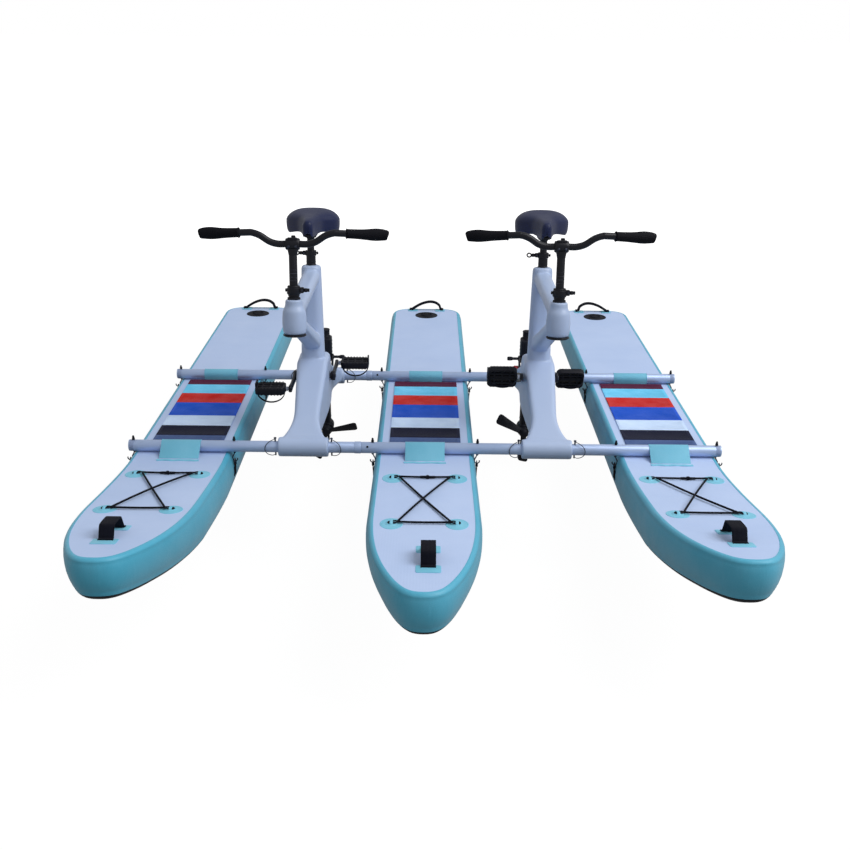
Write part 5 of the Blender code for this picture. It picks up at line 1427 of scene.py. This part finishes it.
def driveBracket():
    outer = drive["earIn"] + drive["earThick"]
    back, low, high = drive["plateBack"], beamZ - 0.022, beamZ + 0.04
    bm = box((2 * outer, 0.008, high - low), 0.0015, 2)
    bmesh.ops.translate(bm, vec=(0, back + 0.004, (low + high) / 2), verts=bm.verts)
    for xs in (-0.02, 0.02):
        for z in (low + 0.012, high - 0.012):
            screw = spun([(0, 0.0042), (0.0034, 0.004), (0.0048, 0.0028), (0.0048, -0.001), (0, -0.001)], 16)
            join(bm, screw, shift(xs, back + 0.008, z) @ turn(-90, "X"), 1)
    pivot = (drive["pivotY"], drive["pivotZ"])
    nose = [(pivot[0] + drive["ear"] * cos(a), pivot[1] + drive["ear"] * sin(a))
            for a in spread(-0.45, 0.72 * pi, 16)]
    outline = [(back, low), (back + 0.016, low), *nose, (back, high)]
    for flip in (-1, 1):
        ear = plate(outline, drive["earThick"], 0.0012)
        join(bm, ear, shift(flip * (drive["earIn"] + drive["earThick"] / 2), 0, 0) @ upright)
        join(bm, bar((flip * (outer - 0.002), *pivot), (flip * (outer + 0.0022), *pivot), 0.0108, sides=32,
                     bevel=0.0008))
    return bm


def driveHead():
    half, front, deep = drive["headHalf"], drive["headFront"], drive["headDepth"]
    low, high = drive["headLow"], drive["blockTop"]
    bm = box((2 * half, deep - 0.003, high - low), 0.007, 3)
    bmesh.ops.translate(bm, vec=(0, front + 0.0015 + deep / 2, (low + high) / 2), verts=bm.verts)
    for step in range(drive["ribs"]):
        z = low + (high - low) * (0.3 + 0.16 * step)
        join(bm, box((2 * half + 0.0024, deep - 0.022, 0.0078), 0.0016, 2),
             shift(0, front + deep / 2 + 0.004, z))
    join(bm, box((0.03, 0.006, 0.066), 0.0024, 2), shift(0, front + 0.001, (low + high) / 2 + 0.01))
    neck = drive["headTop"] - 0.0004
    join(bm, spun([(0, neck), (0.019, neck), (0.02, neck - 0.001), (0.02, high + 0.006),
                   (0.0225, high + 0.003), (0.024, high - 0.003), (0, high - 0.003)], 40),
         shift(0, drive["swivelY"], 0))
    reach = drive["barHalf"]
    pivot = (drive["pivotY"], drive["pivotZ"])
    join(bm, rod(reach - 0.004, *pivot, drive["bar"]))
    for flip in (-1, 1):
        grip = spun([(0, 0.024), (0.0064, 0.0232), (0.0086, 0.02), (0.009, 0.012), (0.008, 0.002),
                     (0.0072, 0.0), (0, 0)], 24)
        join(bm, grip, shift(flip * (reach - 0.0235), *pivot) @ turn(90 * flip, "Y"))
    return bm


def legSection(z, scale):
    front, rear = drive["chord"]
    ring = []
    for angle in spread(0.0, 2 * pi, 24)[:-1]:
        chord = (front if sin(angle) < 0 else rear) * scale
        ring.append(Vector((drive["half"] * scale * cos(angle), drive["swivelY"] + chord * sin(angle), z)))
    return ring


def driveLeg():
    foot, top = drive["propZ"], drive["legTop"]
    stations = [(foot, 1.0), (foot + 0.03, 1.0), (0.0, 0.97), (0.08, 0.95), (top - 0.03, 0.97),
                (top - 0.008, 1.0), (top, 0.94), (top + 0.004, 0.7)]
    bm = loft([legSection(z, scale) for z, scale in stations])
    y = drive["swivelY"]
    high = drive["headTop"]
    join(bm, bar((0, y, top - 0.01), (0, y, high + 0.001), drive["swivel"], sides=40))
    join(bm, spun([(0, drive["capTop"]), (0.006, drive["capTop"]), (0.008, 0.0058), (0.015, 0.0062),
                   (0.0196, 0.0056), (drive["capRadius"], 0.004), (drive["capRadius"], 0.0003),
                   (0, 0.0003)], 40), shift(0, y, high))
    case = drive["case"]
    profile = [(0.0225, -drive["caseFront"]), (case - 0.0035, -drive["caseFront"] + 0.0006),
               (case - 0.0006, -drive["caseFront"] + 0.004), (case, -0.018), (case, 0.024),
               (case * 0.96, 0.038), (case * 0.78, 0.054), (case * 0.48, 0.065), (0.005, drive["caseRear"]),
               (0, drive["caseRear"])]
    join(bm, spun([(0, -drive["caseFront"])] + profile, 48), shift(0, y, foot) @ turn(-90, "X"))
    join(bm, spun([(case + 0.0008, -0.0015), (case + 0.0012, 0), (case + 0.0008, 0.0015),
                   (case - 0.001, 0.0015), (case - 0.001, -0.0015)], 48, closed=True),
         shift(0, y - 0.012, foot) @ turn(-90, "X"))
    low = foot - case - drive["skeg"]
    fin = [(y - 0.01, foot), (y + 0.05, foot), (y + 0.047, low + 0.012), (y + 0.043, low + 0.002),
           (y + 0.036, low), (y + 0.026, low), (y + 0.02, low + 0.004), (y + 0.008, foot - case - 0.012)]
    join(bm, plate(fin, 0.008, 0.0026, 3), upright)
    for z in (0.15, -0.06):
        for flip in (-1, 1):
            screw = spun([(0, 0.0016), (0.0034, 0.0014), (0.0044, 0.0004), (0.0044, -0.002), (0, -0.002)], 16)
            spot = shift(flip * (drive["half"] - 0.0006), y + 0.004, z)
            join(bm, screw, spot @ turn(90 * flip, "Y"), 1)
    return bm


def propeller():
    half, hub = blades["hubLength"] / 2, blades["hub"]
    bm = spun([(0, half), (hub - 0.001, half), (hub, half - 0.001), (hub, -half * 0.3),
               (hub * 0.9, -half * 0.66), (hub * 0.62, -half * 0.9), (hub * 0.3, -half * 0.99), (0, -half)])
    bmesh.ops.transform(bm, matrix=turn(-90, "X"), verts=bm.verts)
    join(bm, bar((0, half - 0.002, 0), (0, half + drive["caseFront"] + 0.004, 0), blades["shaft"],
                 sides=24), look=1)
    reach, corner = blades["reach"], blades["corner"]
    for index in range(blades["count"]):
        rings = []
        for t in (0.06, 0.14, 0.22, 0.32, 0.45, 0.6, 0.75, 0.88, 0.94, 0.975, 0.993, 1.0):
            wide = blades["root"] + (blades["tip"] - blades["root"]) * min(1.0, max(0.0, (t - 0.1) / 0.8))
            cut = max(0.0, t * reach - (reach - corner))
            wide -= 2 * (corner - sqrt(max(0.0, corner * corner - cut * cut)))
            thick = blades["thick"] * (1.7 - 0.9 * t)
            twist = radians(10 * (1 - t))
            c, s = cos(twist), sin(twist)
            rings.append([Vector((t * reach, u * c - v * s, u * s + v * c))
                          for u, v in rounded(wide / 2, thick / 2, thick * 0.49, 4)])
        blade = loft(rings)
        for flip in (-1, 1):
            join(blade, plate(rounded(0.03, 0.015, 0.007, 4), 0.0012, 0.0005),
                 shift(0.092, 0, flip * blades["thick"] * 0.5))
        spin = turn(-360 / blades["count"] * index, "Y") @ turn(blades["pitch"], "X") @ turn(90, "X")
        join(bm, blade, spin)
    return bm


def lobedKnob():
    outline = []
    for a in spread(0.0, 2 * pi, 60)[:-1]:
        radius = knob["radius"] * (1 + 0.12 * cos(5 * a))
        outline.append((radius * cos(a), radius * sin(a)))
    bm = plate(outline, knob["thick"], 0.0028, 3)
    join(bm, spun([(0, 0.0018), (0.0062, 0.0016), (0.0074, 0.0004), (0.0074, -0.002), (0, -0.002)], 24),
         shift(0, 0, -knob["thick"] / 2) @ turn(180, "X"))
    bmesh.ops.transform(bm, matrix=shift(-knob["thick"] / 2 - 0.001, 0, 0) @ upright, verts=bm.verts)
    join(bm, bar((-0.002, 0, 0), (drive["earThick"] - 0.001, 0, 0), 0.004, sides=16), look=1)
    return bm


propY = drive["swivelY"] - drive["caseFront"] - blades["gap"] - blades["hubLength"] / 2
for side, x in bikeX.items():
    place = shift(x, 0, 0)
    piece("driveBracket", side, driveBracket(), place, "craft", metalBlack, "drive_bracket")
    piece("driveHead", side, driveHead(), place, "drive_head", [blackPlastic], "drive_head")
    piece("driveLeg", side, driveLeg(), place, "drive_leg", plasticSteel, "drive_leg")
    piece("propeller", side, propeller(), shift(x, propY, drive["propZ"]) @ turn(blades["turns"][side], "Y"),
          "propeller", plasticSteel, "propeller")
    piece("lockKnob", side, lobedKnob(), shift(x - drive["earIn"] - drive["earThick"], knob["y"], knob["z"]),
          "lock_knob", [redPlastic, steel], "lock_knob")
print("drives ready")


for side in bikeX:
    for node, look in (("bottom_bracket", darkSteel), ("drive_shaft", steel)):
        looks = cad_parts[f"{node}_{side}"].data.materials
        looks.clear()
        looks.append(look)
print("carried nodes ready")
